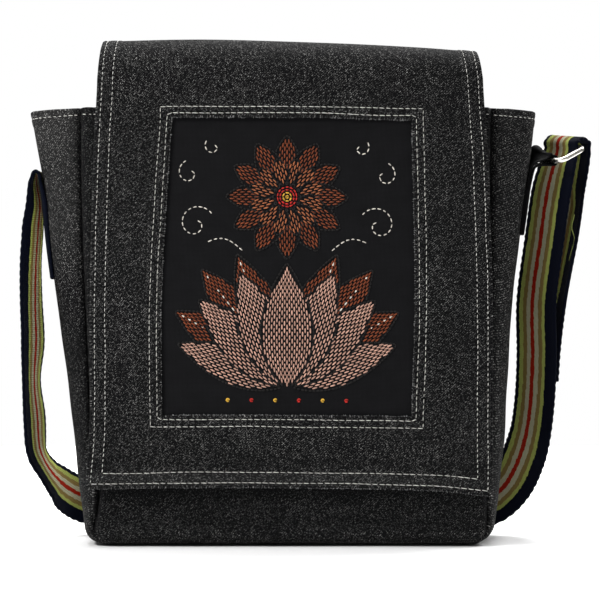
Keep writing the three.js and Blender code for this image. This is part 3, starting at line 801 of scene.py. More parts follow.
@dataclass
class Flap:
    """The denim flap with its double-stitched hem and double-stitched window."""

    shape: FlapShape
    denim: Material
    thread: Material
    hem_rows: Pair = (3.2, 10.3)
    window_rows: Pair = (3.0, 7.8)
    hem: float = 12.2
    side_seam: Seam = Seam(3.5, 0.62, 0.42, "E0DED8")
    low_seam: Seam = Seam(4.6, 0.88, 0.52, "CFCDC6")
    back_seam: Seam = Seam(4.0, 0.74, 0.5, "CFCDC6")
    frame_seam: Seam = Seam(4.0, 0.7, 0.48, "CFCDC6")
    frame_end_seam: Seam = Seam(4.4, 0.86, 0.54, "CFCDC6")
    frame_turns: Pair = (1.6, 0.4)
    window_steps: tuple[int, int] = (45, 89)
    sewn_at: float = 0.012
    stitch_lift: float = 0.12
    fray_counts: tuple[int, int, int] = (420, 560, 460)
    fray_inset: float = 0.4
    fray_reach: float = 1.1
    pieces: list[Piece] = field(default_factory=list)

    def build(self, rests_on: list[Piece]) -> list[Piece]:
        """Builds and dresses the flap and its stitches."""
        cloth = dress(self.wall(), self.denim)
        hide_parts("flap")
        stitches = dress(self.stitches(), self.thread)
        length = (self.shape.crest_length + self.shape.front_length) * MM
        self.pieces += [cloth, stitches]
        return self.pieces

    def hem_distance(self, x: Array, along: Array) -> tuple[Array, Array]:
        """Distance from the nearest side or lower edge, and the run along that edge."""
        shape = self.shape
        sides = np.minimum(x + shape.edge(Side.LEFT, along), shape.edge(Side.RIGHT, along) - x)
        low = (2.0 - along) * shape.front_length
        low = np.where(along > 1.0, low, ELSEWHERE)
        return np.minimum(sides, low), np.where(low < sides, x, shape.run(along))

    def window_distance(self, x: Array, along: Array) -> tuple[Array, Array]:
        """Distance outside the window's edge, and the run along that edge."""
        shape = self.shape
        height = shape.height(along)
        sides = np.maximum(-shape.opening(Side.LEFT, along) - x, x - shape.opening(Side.RIGHT, along))
        ends = np.maximum(height - shape.window_top, shape.window_bottom - height)
        ends = np.where(along > 1.0, ends, ELSEWHERE)
        return np.maximum(sides, ends), np.where(ends > sides, x, height)

    def relief(self, x: Array, along: Array) -> Array:
        """Height of the outer face over the plain cloth.

        The hem's second layer and the window's turned edge stand up, each row of stitches pulls a groove, and
        between rows the cloth puckers in short uneven waves.
        """
        edge, edge_run = self.hem_distance(x, along)
        frame_gap, frame_run = self.window_distance(x, along)
        height = 0.5 * (1.0 - ease(edge, self.hem - 0.9, self.hem + 0.9))
        height += 0.35 * (1.0 - ease(frame_gap, 9.4, 11.2))
        for row in self.hem_rows:
            height -= 0.34 * dip(edge - row, 0.95)
        for row in self.window_rows:
            height -= 0.3 * dip(frame_gap - row, 0.9)
        height += 0.2 * ripple(edge_run, edge, 8.2, 0.4) * dip(edge - 6.5, 5.0)
        height += 0.18 * ripple(frame_run, frame_gap, 8.8, 1.7) * dip(frame_gap - 5.5, 4.5)
        return height

    def columns(self, along: Array) -> tuple[Array, int, int]:
        """Places across for each row, close together at the hem and at the window.

        Args:
            along: places along, one a row.

        Returns:
            The places, and the numbers of the window's left and right columns.
        """
        hem, frame_gap = np.array(HEM_STEPS), np.array(FRAME_STEPS)
        shape, inside = self.shape, self.window_steps[0]
        left, right = (side.value * shape.edge(side, along)[:, None] for side in Side)
        sill_left, sill_right = (side.value * shape.opening(side, along)[:, None] for side in Side)
        share = np.linspace(0.0, 1.0, 9)[1:-1]
        outer_left, inner_left = left + hem, sill_left - frame_gap
        outer_right, inner_right = right - hem[::-1], sill_right + frame_gap[::-1]
        between_left = outer_left[:, -1:] + (inner_left[:, :1] - outer_left[:, -1:]) * share
        between_right = inner_right[:, -1:] + (outer_right[:, :1] - inner_right[:, -1:]) * share
        opening = sill_left + (sill_right - sill_left) * np.linspace(0.0, 1.0, inside + 1)[1:-1]
        parts = [outer_left, between_left, inner_left, opening, inner_right, between_right, outer_right]
        first = len(hem) + len(share) + len(frame_gap) - 1
        return np.concatenate(parts, axis=1), first, first + inside

    def rows(self) -> tuple[Array, int, int]:
        """Places along, close together at the window and hem, and the numbers of the window's end rows."""
        shape, inside = self.shape, self.window_steps[1]
        hem, frame_gap = np.array(HEM_STEPS[::-1]), np.array(FRAME_STEPS)
        above = shape.front_along(shape.window_top + frame_gap)
        beside = np.linspace(above[-1], shape.front_along(shape.window_bottom), inside + 1)[1:-1]
        below = shape.front_along(shape.window_bottom - frame_gap[::-1])
        lower = 2.0 - hem / shape.front_length
        back = np.linspace(0.0, 1.0, 54)
        lead = np.linspace(1.0, above[0], 5)[1:-1]
        parts = [back, lead, above, beside, below, np.linspace(below[-1], lower[0], 10)[1:-1], lower]
        first = len(back) + len(lead) + len(above) - 1
        return np.concatenate(parts), first, first + inside

    def wave(self, x: Array, along: Array) -> Array:
        """Slow waves down the hanging cloth."""
        return 0.45 * ripple(self.shape.run(along), x / 11.0, 118.0, 1.1)

    def wall(self) -> Piece:
        """The flap's wall on its grid, open at the window."""
        along, top, bottom = self.rows()
        x, left, right = self.columns(along)
        spread = np.broadcast_to(along[:, None], x.shape)
        grid = self.shape.middle(x, spread)
        grid += self.shape.normal(x, spread) * self.wave(x, spread)[..., None]
        outer = self.shape.body.wall / 2.0 + self.relief(x, spread)
        low = (2.0 - spread) * self.shape.front_length
        wear_and_painted_light = 1.0 + 0.55 * dip(low - 6.2, 4.6) - 0.3 * dip(low - 16.0, 4.0)
        # painted shade: the flap's right part darker
        wear_and_painted_light *= 1.0 - 0.2 * ease(grid[..., 0], 70.0, 118.0)
        slab = ClothSlab(grid, outer, self.shape.body.wall / 2.0, hole=(top, bottom, left, right), wear_and_painted_light=wear_and_painted_light)
        return slab.build("flap_cloth")

    def row(self, x: Array, along: Array, seam: Seam, seed: int) -> Stitches:
        """A row of stitches along a line on the flap's outer face."""
        x, along = np.broadcast_arrays(np.asarray(x, float), np.asarray(along, float))
        normal = self.shape.normal(x, along)
        lift = self.shape.body.wall / 2.0 + self.relief(x, along) + self.wave(x, along) + self.stitch_lift
        return Stitches.along(self.shape.middle(x, along) + normal * lift[:, None], normal, seam, seed)

    def span(self, along: float, gap: float) -> Array:
        """Places across, from a gap inside the left edge to a gap inside the right edge."""
        left, right = (float(self.shape.edge(side, along)) for side in Side)
        return np.linspace(gap - left, right - gap, 500)

    def hem_stitches(self) -> list[Stitches]:
        """Two rows down each side, two along the lower edge, and two along the sewn edge on the back."""
        shape = self.shape
        lap_gap, lap_gauge = 3.0, 7.0
        found = []
        for number, gap in enumerate(self.hem_rows):
            end = 2.0 - gap / shape.front_length
            along = np.linspace(self.sewn_at, end, 900)
            wander = 0.22 * ripple(shape.run(along), 0.0 * along, 60.0, 0.7 + number)
            for side, seed in ((Side.LEFT, 11), (Side.RIGHT, 21)):
                reach = side.value * (shape.edge(side, along) - gap)
                found.append(self.row(reach + wander, along, self.side_seam, seed + number))
            span = self.span(end, gap)
            drift = 0.0012 * ripple(span, 0.0 * span, 90.0, 1.9 + number)
            found.append(self.row(span, end + drift, self.low_seam, 31 + number))
            back = self.sewn_at + (lap_gap + lap_gauge * number) / shape.crest_length
            span = self.span(back, lap_gap)
            found.append(self.row(span, back + 0.0 * span, self.back_seam, 41 + number))
        return found

    def window_stitches(self) -> list[Stitches]:
        """Two rows round the window: the inner one turns its corners in small arcs, the outer one sharply."""
        shape = self.shape
        found = []
        for number, (gap, turn) in enumerate(zip(self.window_rows, self.frame_turns)):
            top, bottom = shape.window_top + gap, shape.window_bottom - gap
            height = np.linspace(bottom + turn, top - turn, 500)
            along = shape.front_along(height)
            arc = np.linspace(0.0, np.pi / 2.0, 12)
            for side in Side:
                reach = side.value * (shape.opening(side, along) + gap)
                wander = 0.25 * ripple(height, 0.0 * height, 70.0, 0.9 + number + side.value)
                found.append(self.row(reach + wander, along, self.frame_seam, 51 + 4 * number + side.value))
            for end, seed in ((top, 61), (bottom, 71)):
                inward = -1.0 if end == top else 1.0
                at = shape.front_along(end)
                left, right = (float(shape.opening(side, at)) + gap for side in Side)
                span = np.linspace(-left + turn, right - turn, 400)
                first, last = span[0] - turn * np.cos(arc), span[-1] + turn * np.sin(arc)
                x = np.concatenate([first, span, last])
                bend = turn * (1.0 - np.sin(arc))
                rise = np.concatenate([bend, 0.0 * span, bend[::-1]])
                drift = 0.3 * ripple(x, 0.0 * x, 80.0, 2.1 + number + inward)
                place = shape.front_along(end + inward * rise + drift)
                found.append(self.row(x, place, self.frame_end_seam, seed + number))
        return found

    def fray(self) -> Stitches:
        """Short pale fibres that stand out of the lower edge and of the window's edge by chance."""
        shape, inset, source = self.shape, self.fray_inset, np.random.default_rng(17)
        half, grey, thick = 80.0, 0.3, 0.24  # half an end's length, then the fibres' tone and thickness
        low, tall, wide = (source.uniform(-1.0, 1.0, count) for count in self.fray_counts)
        x_low = np.where(low < 0.0, shape.edge(Side.LEFT, 2.0), shape.edge(Side.RIGHT, 2.0)) * low * 0.985
        height = shape.window_bottom + (tall + 1.0) / 2.0 * (shape.window_top - shape.window_bottom)
        flip = np.where(source.random(len(tall)) < 0.5, -1.0, 1.0)
        along = shape.front_along(height)
        reach = np.where(flip < 0.0, shape.opening(Side.LEFT, along), shape.opening(Side.RIGHT, along))
        end = np.where(source.random(len(wide)) < 0.5, shape.window_top, shape.window_bottom)
        inward = np.where(end == shape.window_top, -1.0, 1.0)
        x = np.concatenate([x_low, flip * (reach + inset), wide * half])
        hem = np.full(len(low), 2.0 - inset / shape.front_length)
        place = np.concatenate([hem, along, shape.front_along(end - inset * inward)])
        count, sides = len(x), slice(len(low), len(low) + len(tall))
        way = np.zeros((count, 3))
        way[: sides.start, 2], way[sides, 0], way[sides.stop :, 2] = -1.0, -flip, inward
        normal = shape.normal(x, place)
        start = shape.middle(x, place) + normal * source.uniform(0.2, 0.95, (count, 1))
        stray = unit(way + source.normal(0.0, 0.6, way.shape))
        finish = start + self.fray_reach * stray * source.uniform(0.5, 1.3, (count, 1))
        dye = np.full((count, 3), grey) * source.uniform(0.4, 1.3, (count, 1))
        return Stitches(start, finish, normal, np.full(count, thick), dye)

    def stitches(self) -> Piece:
        """All the flap's topstitching and the fibres of its edges as one piece."""
        rows = self.hem_stitches() + self.window_stitches() + [self.fray()]
        return Stitches.joined(rows).build("flap_stitches", 0.18)


class Dye(Enum):
    """Colours of the embroidery threads."""

    PEACH = "C59A88"
    RUST = "7A3A1C"
    BRICK = "9A5A38"
    RED = "B8241C"
    GOLD = "D8A93A"
    WHITE = "DDD6CB"
    INK = "100D0C"


@dataclass(frozen=True)
class Petal:
    """A pointed petal on the panel's plane, filled with lanes of running stitch."""

    base: Pair
    tip: Pair
    half: float
    dye: Dye
    vein: Dye | None = None

    def half_at(self, share: Array) -> Array:
        """Half the width at a share of the length: a half sine, a little fuller, that ends in a point."""
        full = 0.85
        return self.half * np.sin(np.pi * np.clip(share, 0.0, 1.0) ** full) ** full

    def axes(self) -> tuple[Array, Array, Array, float]:
        """The base, the way to the tip, the way to the side, and the length."""
        base, tip = np.array(self.base), np.array(self.tip)
        length = float(np.linalg.norm(tip - base))
        way = (tip - base) / length
        return base, way, np.array([-way[1], way[0]]), length

    def covers(self, points: Array) -> Array:
        """Whether points lie on the petal."""
        base, way, side, length = self.axes()
        share = (points - base) @ way / length
        inside = (share > 0.0) & (share < 1.0)
        return inside & (np.abs((points - base) @ side) < self.half_at(share))

    def fill(self, lane: float, dash: float, gap: float) -> tuple[Array, Array]:
        """Running stitches that fill the petal.

        Lanes lie side by side and draw together where the petal narrows; every other lane starts half a step
        later, and a dash is kept where it lies inside the outline.

        Args:
            lane: distance between lanes in millimetres.
            dash: length of a stitch.
            gap: cloth that shows between two stitches.

        Returns:
            Starts and ends on the plane.
        """
        base, way, side, length = self.axes()
        number = np.arange(-int(self.half / lane), int(self.half / lane) + 1)
        step = dash + gap
        begin = np.arange(0.0, length, step) + gap
        begin = begin[None, :] + (np.abs(number) % 2)[:, None] * step / 2.0
        ends = np.stack([begin, begin + dash], axis=-1)
        room = self.half_at(ends / length)
        off = (number * lane)[:, None, None] * (0.5 + 0.5 * room / self.half)
        keep = np.all((np.abs(off) < room - 0.7) & (ends < length - 1.0), axis=-1)
        places = base + ends[..., None] * way + off[..., None] * side
        return places[keep][:, 0], places[keep][:, 1]

    def outline(self) -> Array:
        """Points up one edge of the petal and down the other."""
        base, way, side, length = self.axes()
        share = np.linspace(0.02, 1.0, 40)
        up = base + (share * length)[:, None] * way + self.half_at(share)[:, None] * side
        down = base + (share * length)[:, None] * way - self.half_at(share)[:, None] * side
        return np.concatenate([up, down[::-1]])


@dataclass
class EmbroideredPanel:
    """Smooth black cotton behind the flap's window, embroidered with a lotus, a sun flower and tendrils."""

    shape: FlapShape
    cotton: Material
    thread: Material
    cloth: float = 1.2
    lap: float = 9.0
    sun: Pair = (0.0, 46.0)
    shift: float = 2.0  # the design sits a little left of the middle
    thread_lift: float = 0.05
    tendrils: tuple[tuple[Pair, float, float], ...] = (  # middle, size, half turns
        ((62.0, 28.0), 13.0, 2.2),
        ((66.0, 62.0), 9.0, 1.8),
        ((50.0, 80.0), 6.5, 1.6),
    )
    knots: tuple[float, ...] = (-40.0, -24.0, -8.0, 8.0, 24.0, 40.0)
    pieces: list[Piece] = field(default_factory=list)

    @property
    def inset(self) -> float:
        """How far the panel's middle lies behind the flap's middle."""
        return self.shape.body.wall / 2.0 + self.shape.body.sewn_gap + self.cloth / 2.0

    def build(self, rests_on: list[Piece]) -> list[Piece]:
        """Builds and dresses the panel and its embroidery."""
        panel = dress(self.wall(), self.cotton)
        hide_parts("embroidered_panel")
        motif = dress(self.embroidery(), self.thread)
        self.pieces += [panel, motif]
        return self.pieces

    def wave(self, x: Array, along: Array) -> Array:
        """Soft unevenness of the stretched cotton: two slow waves."""
        return 0.25 * ripple(x, self.shape.height(along) / 12.0, 46.0, 0.5)

    def wall(self) -> Piece:
        """The panel's wall, a plain grid that reaches a lap past the window."""
        shape = self.shape
        along = np.linspace(shape.front_along(shape.window_top + self.lap),
                            shape.front_along(shape.window_bottom - self.lap), 90)
        left, right = (side.value * (shape.opening(side, along)[:, None] + self.lap) for side in Side)
        x = left + (right - left) * np.linspace(0.0, 1.0, 80)
        spread = np.broadcast_to(along[:, None], x.shape)
        grid = shape.middle(x, spread, self.inset)
        grid[..., 1] -= self.wave(x, spread) * 0.5
        return ClothSlab(grid, self.cloth / 2.0, self.cloth / 2.0).build("embroidered_panel_cloth")

    def petals(self) -> list[Petal]:
        """The design's petals and leaves, the lowest first."""
        found = []
        for x, z in ((76.0, -30.0), (58.0, -2.0), (34.0, 8.0)):
            for sign in (-1.0, 1.0):
                found.append(Petal((0.0, -74.0), (sign * x, z), 16.0, Dye.RUST, Dye.WHITE))
        for x, z, half in ((74.0, -52.0, 13.0), (60.0, -22.0, 15.0), (32.0, -4.0, 16.0)):
            for sign in (-1.0, 1.0):
                found.append(Petal((sign * 2.0, -80.0), (sign * x, z), half, Dye.PEACH))
        found.append(Petal((0.0, -82.0), (0.0, 2.0), 18.0, Dye.PEACH))
        middle = np.array(self.sun)
        for reach, half, shift, dye in ((42.0, 9.0, 0.0, Dye.RUST), (27.0, 6.0, 15.0, Dye.BRICK)):
            for turn in np.radians(np.arange(0.0, 360.0, 30.0) + shift):
                way = np.array([np.sin(turn), np.cos(turn)])
                found.append(Petal(tuple(middle + 8.0 * way), tuple(middle + reach * way), half, dye))
        return found

    def line(self, points: Array, pitch: float, share: float) -> tuple[Array, Array]:
        """Running stitches along a line on the plane."""
        flat = np.column_stack([points, np.zeros(len(points))])
        up = np.tile((0.0, 0.0, 1.0), (len(points), 1))
        row = Stitches.along(flat, up, Seam(pitch, share, 1.0, Dye.INK.value, 0.0), 5)
        return row.start[:, :2], row.end[:, :2]

    def threads(self) -> tuple[Array, Array, Array, Array]:
        """All the threads on the plane, each petal's hidden where a later petal covers it.

        Returns:
            Starts, ends, linear colours and widths.
        """
        petals = self.petals()
        starts, ends, dyes, widths = [], [], [], []

        def lay(pair: tuple[Array, Array], dye: Dye, width: float, above: list[Petal]) -> None:
            """Keeps the threads that no petal above covers."""
            middle = (pair[0] + pair[1]) / 2.0
            clear = np.ones(len(middle), bool)
            for petal in above:
                clear &= ~petal.covers(middle)
            starts.append(pair[0][clear])
            ends.append(pair[1][clear])
            dyes.append(np.tile(linear(dye.value)[:3], (int(clear.sum()), 1)))
            widths.append(np.full(int(clear.sum()), width))

        for number, petal in enumerate(petals):
            above = petals[number + 1 :]
            lay(petal.fill(lane=1.75, dash=3.7, gap=1.1), petal.dye, 1.05, above)
            lay(self.line(petal.outline(), 2.6, 0.96), Dye.INK, 1.3, above)
            if petal.vein:
                spine = np.linspace(petal.base, petal.tip, 40)[10:-2]
                lay(self.line(spine, 5.2, 0.66), petal.vein, 1.0, above)
        turn = np.linspace(0.0, 2.0 * np.pi, 90)
        ring = np.column_stack([np.cos(turn), np.sin(turn)])
        for radius, dye in ((1.2, Dye.GOLD), (3.0, Dye.GOLD), (4.8, Dye.RED), (6.6, Dye.RED), (8.3, Dye.INK)):
            lay(self.line(ring * radius + self.sun, 2.9, 0.84), dye, 1.1, [])
        for sign in (-1.0, 1.0):
            for centre, size, twist in self.tendrils:
                spin = np.linspace(0.0, twist * np.pi, 80)
                radius = size * (0.18 + 0.82 * spin / spin[-1])
                curl = np.column_stack([radius * np.cos(spin + 2.0), radius * np.sin(spin + 2.0)]) + centre
                lay(self.line(curl * (sign, 1.0), 4.0, 0.7), Dye.WHITE, 0.8, [])
            stem = np.linspace((sign * 30.0, 10.0), (sign * 54.0, 16.0), 30)
            stem[:, 1] += 5.0 * np.sin(np.linspace(0.0, np.pi, 30))
            lay(self.line(stem, 4.0, 0.7), Dye.WHITE, 0.8, petals)
        for number, x in enumerate(self.knots):
            dot = ring[::9] * 1.3 + (x, -90.0)
            lay(self.line(dot, 2.4, 0.9), Dye.RED if number % 2 else Dye.GOLD, 1.2, [])
        return tuple(np.concatenate(part) for part in (starts, ends, dyes, widths))

    def embroidery(self) -> Piece:
        """The threads laid on the panel's face, with small differences of shade from one to the next."""
        shape = self.shape
        start, end, dye, width = self.threads()
        middle_height = (shape.window_top + shape.window_bottom) / 2.0

        def face(places: Array) -> tuple[Array, Array]:
            """Points and normals of the panel's face at places on the plane."""
            along = shape.front_along(middle_height + places[:, 1])
            x = places[:, 0] - self.shift
            normal = shape.normal(x, along)
            points = shape.middle(x, along, self.inset)
            points[:, 1] -= self.wave(x, along) * 0.5
            return points + normal * (self.cloth / 2.0 + self.thread_lift), normal

        first, normal = face(start)
        last, _ = face(end)
        shade = np.random.default_rng(3).uniform(0.72, 1.12, (len(dye), 1))
        return Stitches(first, last, normal, width, dye * shade).build("embroidery_threads", 0.3)


def edge_ways(turn: Array | float, low: Array | float) -> Array:
    """Ways towards a band's edge.

    Args:
        turn: degrees from the front towards the left.
        low: degrees below level.

    Returns:
        Unit ways: sine and cosine of the turn on the level, both shortened by the cosine of the drop.
    """
    turn, low = np.radians(turn), np.radians(low)
    parts = (-np.sin(turn) * np.cos(low), -np.cos(turn) * np.cos(low), -np.sin(low))
    return np.stack(np.broadcast_arrays(*parts), axis=-1)


def band_grid(points: Array, ways: Array, width: float, columns: Array, count: int) -> Array:
    """A band carried along a route.

    Points and edge ways are smoothed along the route; at each place the edge way is made square to the route,
    and the band spans half its width to either side along it.

    Args:
        points: the route's points.
        ways: the way to the band's edge at each of them.
        width: the band's width.
        columns: places across from -1 to 1.
        count: steps along the route.

    Returns:
        The band's middle surface.
    """
    path = catmull(points, count)
    tangent = unit(np.gradient(path, axis=0))
    edge = catmull(ways, count)
    edge = unit(edge - np.sum(edge * tangent, axis=1, keepdims=True) * tangent)
    return path[:, None] + edge[:, None] * (columns * width / 2.0)[None, :, None]


def tube(name: str, path: Array, radius: float, colour: str, sides: int = 6) -> Piece:
    """A round thread along a path: circles square to the path, closed by a face at each end."""
    tangent = unit(np.gradient(path, axis=0))
    side = unit(np.cross(tangent, (0.3, 1.0, 0.2)))
    up = np.cross(tangent, side)
    turn = np.linspace(0.0, 2.0 * np.pi, sides, endpoint=False)
    ring = side[:, None] * np.cos(turn)[None, :, None] + up[:, None] * np.sin(turn)[None, :, None]
    number = np.arange(len(path) * sides).reshape(len(path), sides)
    after = np.roll(number, -1, axis=1)
    faces = np.stack([number[:-1], after[:-1], after[1:], number[1:]], axis=-1).reshape(-1, 4).tolist()
    faces += [number[0, ::-1].tolist(), number[-1].tolist()]
    points = (path[:, None] + radius * ring).reshape(-1, 3)
    return make_object(name, points, faces, dye=np.tile(linear(colour)[:3], (len(points), 1)))


@dataclass(frozen=True)
class RingFrame:
    """Where the ring sits: its middle, the way of its long bars and the way across to the strap's bar."""

    centre: tuple[float, float, float] = (185.1, 5.0, 268.6)
    along: tuple[float, float, float] = (0.5, -0.86, -0.1)
    across: tuple[float, float, float] = (0.79, 0.41, 0.44)
    bar_offset: float = 10.7

    @property
    def long(self) -> Array:
        """The unit way of the long bars."""
        return unit(np.array(self.along))

    @property
    def short(self) -> Array:
        """The unit way from the tab's bar to the strap's bar, square to the long bars."""
        way = np.array(self.across)
        return unit(way - (way @ self.long) * self.long)

    @property
    def strap_bar(self) -> Array:
        """The middle of the strap on the bar that holds it."""
        return np.array(self.centre) + self.short * self.bar_offset - self.long

    @property
    def tab_bar(self) -> Array:
        """The middle of the bar that holds the tab."""
        return np.array(self.centre) - self.short * self.bar_offset


STRAP_PAINTED_LIGHT = (  # run from the sewn end, then the painted light and shade on the dyes: paler on the left run, deeper on the right
    (0.0, 1.0),
    (70.0, 1.2),
    (90.0, 1.6),
    (300.0, 1.35),
    (560.0, 0.68),
    (780.0, 0.68),
    (880.0, 0.85),
    (950.0, 0.65),
)
STRAP_ROWS = (  # x, y, z, then the turn and the drop of the broad navy edge
    (-172.2, 0.0, 247.5, 0.0, 0.0),
    (-172.4, 0.0, 251.9, 0.0, 0.0),
    (-173.3, 0.0, 254.2, 0.0, 0.0),
    (-175.4, 0.0, 255.2, 0.0, 0.0),
    (-177.5, 0.0, 254.2, 0.0, 0.0),
    (-178.4, 0.0, 251.9, 0.0, 0.0),
    (-178.6, 0.0, 247.0, 6.0, 0.0),
    (-177.9, 0.0, 236.0, 13.0, 0.0),
    (-177.7, 0.0, 216.0, 19.0, 0.0),
    (-179.0, 0.0, 194.0, 19.0, 0.0),
    (-179.1, 0.0, 166.0, 20.5, 0.0),
    (-178.3, 0.5, 138.0, 22.0, 0.0),
    (-179.4, 1.5, 110.0, 15.0, 0.0),
    (-177.6, 4.5, 84.0, 20.0, 0.0),
    (-176.4, 9.0, 63.0, 18.0, 0.0),
    (-171.8, 16.0, 50.2, 13.0, 0.0),
    (-165.8, 26.0, 39.6, 18.0, 6.0),
    (-159.0, 36.0, 31.6, 30.0, 34.0),
    (-150.4, 43.6, 26.0, 37.0, 72.0),
    (-138.0, 47.0, 22.0, 0.0, 88.0),
    (-104.0, 47.2, 18.8, 0.0, 90.0),
    (-40.0, 47.0, 17.6, 0.0, 90.0),
    (40.0, 47.0, 17.6, 0.0, 90.0),
    (98.0, 47.0, 17.6, 0.0, 90.0),
    (122.0, 47.0, 18.6, -70.0, 66.0),
    (142.0, 43.0, 23.0, -79.0, 38.0),
    (154.8, 33.0, 36.0, -76.0, 32.0),
    (163.0, 20.5, 55.0, -65.0, 18.0),
    (167.2, 11.0, 73.0, -54.0, 3.0),
    (169.8, 5.0, 98.0, -53.0, 0.0),
    (170.8, 2.0, 128.0, -53.0, 0.0),
    (170.7, 2.0, 166.0, -53.0, 0.0),
    (176.4, 4.6, 208.0, -53.0, 0.0),
    (181.6, 5.8, 243.0, -53.0, 0.0),
)
STRAP_TAIL_ROWS = (
    (194.3, 19.0, 243.0, -40.0, 5.7),
    (187.0, 15.0, 208.0, -53.0, 0.0),
    (178.5, 9.0, 166.0, -53.0, 0.0),
    (173.8, 5.6, 130.0, -53.0, 0.0),
    (172.6, 5.8, 112.0, -53.0, 0.0),
)


@dataclass
class ShoulderStrap:
    """The striped webbing: sewn on the left, carried behind the body and through the ring on the right."""

    body: BodyShape
    ring: RingFrame
    webbing: Material
    thread: Material
    width: float = 32.0
    thickness: float = 2.2
    fold_radius: float = 6.6
    at_ring: Pair = (-40.0, 5.7)
    bow: float = 1.8
    bow_rise: Pair = (82.0, 104.0)
    bow_fall: Pair = (130.0, 190.0)
    shifts: tuple[tuple[float, Pair, Pair], ...] = (  # move in x, its rise and its fall
        (1.3, (70.0, 80.0), (96.0, 116.0)),
        (-0.4, (100.0, 120.0), (140.0, 185.0)),
    )
    outer_painted_light: float = 0.85  # the outer face's painted light goes no higher than this
    pieces: list[Piece] = field(default_factory=list)

    def route(self) -> tuple[Array, Array]:
        """The route's points and edge ways, as the CAD source sets them."""
        sewn = np.array([182.0, 205.0, 226.0, 239.0])
        sewn = np.column_stack([-self.body.fold(Side.LEFT, sewn) - 2.5, np.zeros(4), sewn])
        turn = np.radians([-20.0, 30.0, 90.0, 150.0, 200.0])
        along = edge_ways(*self.at_ring)
        inward = unit(-np.cross(along, (0.0, 0.0, 1.0)))
        over = self.ring.strap_bar - inward * (self.fold_radius * np.cos(turn))[:, None]
        over[:, 2] += self.fold_radius * np.sin(turn)
        main, tail = np.array(STRAP_ROWS), np.array(STRAP_TAIL_ROWS)
        main_ways, tail_ways = (edge_ways(rows[:, 3], rows[:, 4]) for rows in (main, tail))
        ways = np.vstack([np.tile(edge_ways(0.0, 0.0), (4, 1)), main_ways, np.tile(along, (5, 1)), tail_ways])
        return np.vstack([sewn, main[:, :3], over, tail[:, :3]]), ways

    def build(self, rests_on: list[Piece]) -> list[Piece]:
        """Builds and dresses the strap and a loose thread."""
        points, ways = self.route()
        columns = np.sin(np.linspace(-np.pi / 2.0, np.pi / 2.0, 7))
        columns = np.unique(np.round(np.concatenate([columns, np.linspace(-0.95, 0.95, 20)]), 4))
        grid = band_grid(points, ways, self.width - self.thickness, columns, 760)
        run = run_lengths(grid[:, len(columns) // 2])
        grid += surface_normals(grid) * self.bowing(run[:, None], columns)[..., None]
        for move, rise, fall in self.shifts:
            grid[..., 0] += move * hump(run, rise, fall)[:, None]
        grid += self.tail_curl(run[-1] - run, columns)
        close = 1.0 - ease(run, 48.0, 74.0)[:, None]
        grid[..., 0] += close * self.body.fall(Side.LEFT, grid[..., 1], grid[..., 2])
        wobble = 0.3 * np.sin(run * 2.0 * np.pi / 5.2)[:, None] * np.abs(columns) ** 6
        grid += unit(np.gradient(grid, axis=1)) * (wobble * np.sign(columns))[..., None]
        face = self.thickness / 2.0 + 0.12 * dip(1.0 - np.abs(columns), 0.12) - 0.05
        # painted light and shade: colours paler on the left run, most on its inner face, and deeper on the
        # right run
        painted_light = np.interp(run, *zip(*STRAP_PAINTED_LIGHT))[:, None]
        slab = ClothSlab(grid, face[None, :], face[None, :], wear_and_painted_light=np.minimum(painted_light, self.outer_painted_light),
                         inner_wear_and_painted_light=painted_light, edge_wear_and_painted_light=0.0)
        strap = slab.build("strap_webbing")
        dress(strap, self.webbing)
        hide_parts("strap")
        LOG.info("strap route %.0f mm", run[-1])
        self.pieces += [strap, dress(self.loose_thread(), self.thread)]
        return self.pieces

    def bowing(self, run: Array, columns: Array) -> Array:
        """How far the free run on the left bows across its width: a parabola, eased in and out along it."""
        return self.bow * (columns**2 - 0.85) * hump(run, self.bow_rise, self.bow_fall)

    def tail_curl(self, left: Array, columns: Array) -> Array:
        """How the doubled tail lies: slid a little outwards, its navy edge curled forwards.

        Args:
            left: the run that is left to the tail's end, one a row.
            columns: places across, one a column.

        Returns:
            Moves of the grid's points: a slide in x and a curl with the square of the place past the middle.
        """
        along = hump(left, (30.0, 70.0), (122.0, 140.0))[:, None]
        past = np.maximum(0.0, columns - 0.2)[None, :] ** 2 * along
        slide, curl_in, curl_forward = 2.6, 4.6, 6.2
        return np.stack([slide * along - curl_in * past, -curl_forward * past, 0.0 * past], axis=-1)

    def loose_thread(self) -> Piece:
        """A stray lime thread that hangs off the doubled tail in a slack curve."""
        points = np.array([(197.5, 5.5, 226.0), (195.6, 4.6, 217.0), (197.2, 3.4, 209.0), (195.0, 3.2, 200.0),
                           (193.6, 3.5, 194.0)])
        return tube("loose_strap_thread", catmull(points, 40), 0.3, "9AA85A")


TAB_BAR_ROWS = (  # away from the bar, above it, and the drop of the tab's front edge
    (-4.2, 3.4, 0.3),
    (-2.8, 5.4, 0.45),
    (0.0, 5.4, 0.4),
    (2.6, 3.4, 0.2),
    (3.5, 0.2, 0.0),
    (2.2, -2.8, 0.0),
    (-1.6, -3.4, 0.0),
)
TAB_OUTER_ROWS = ((257.5, 4.4), (249.0, 3.5), (228.0, 3.4), (212.0, 3.4))  # height, and how far off the fold


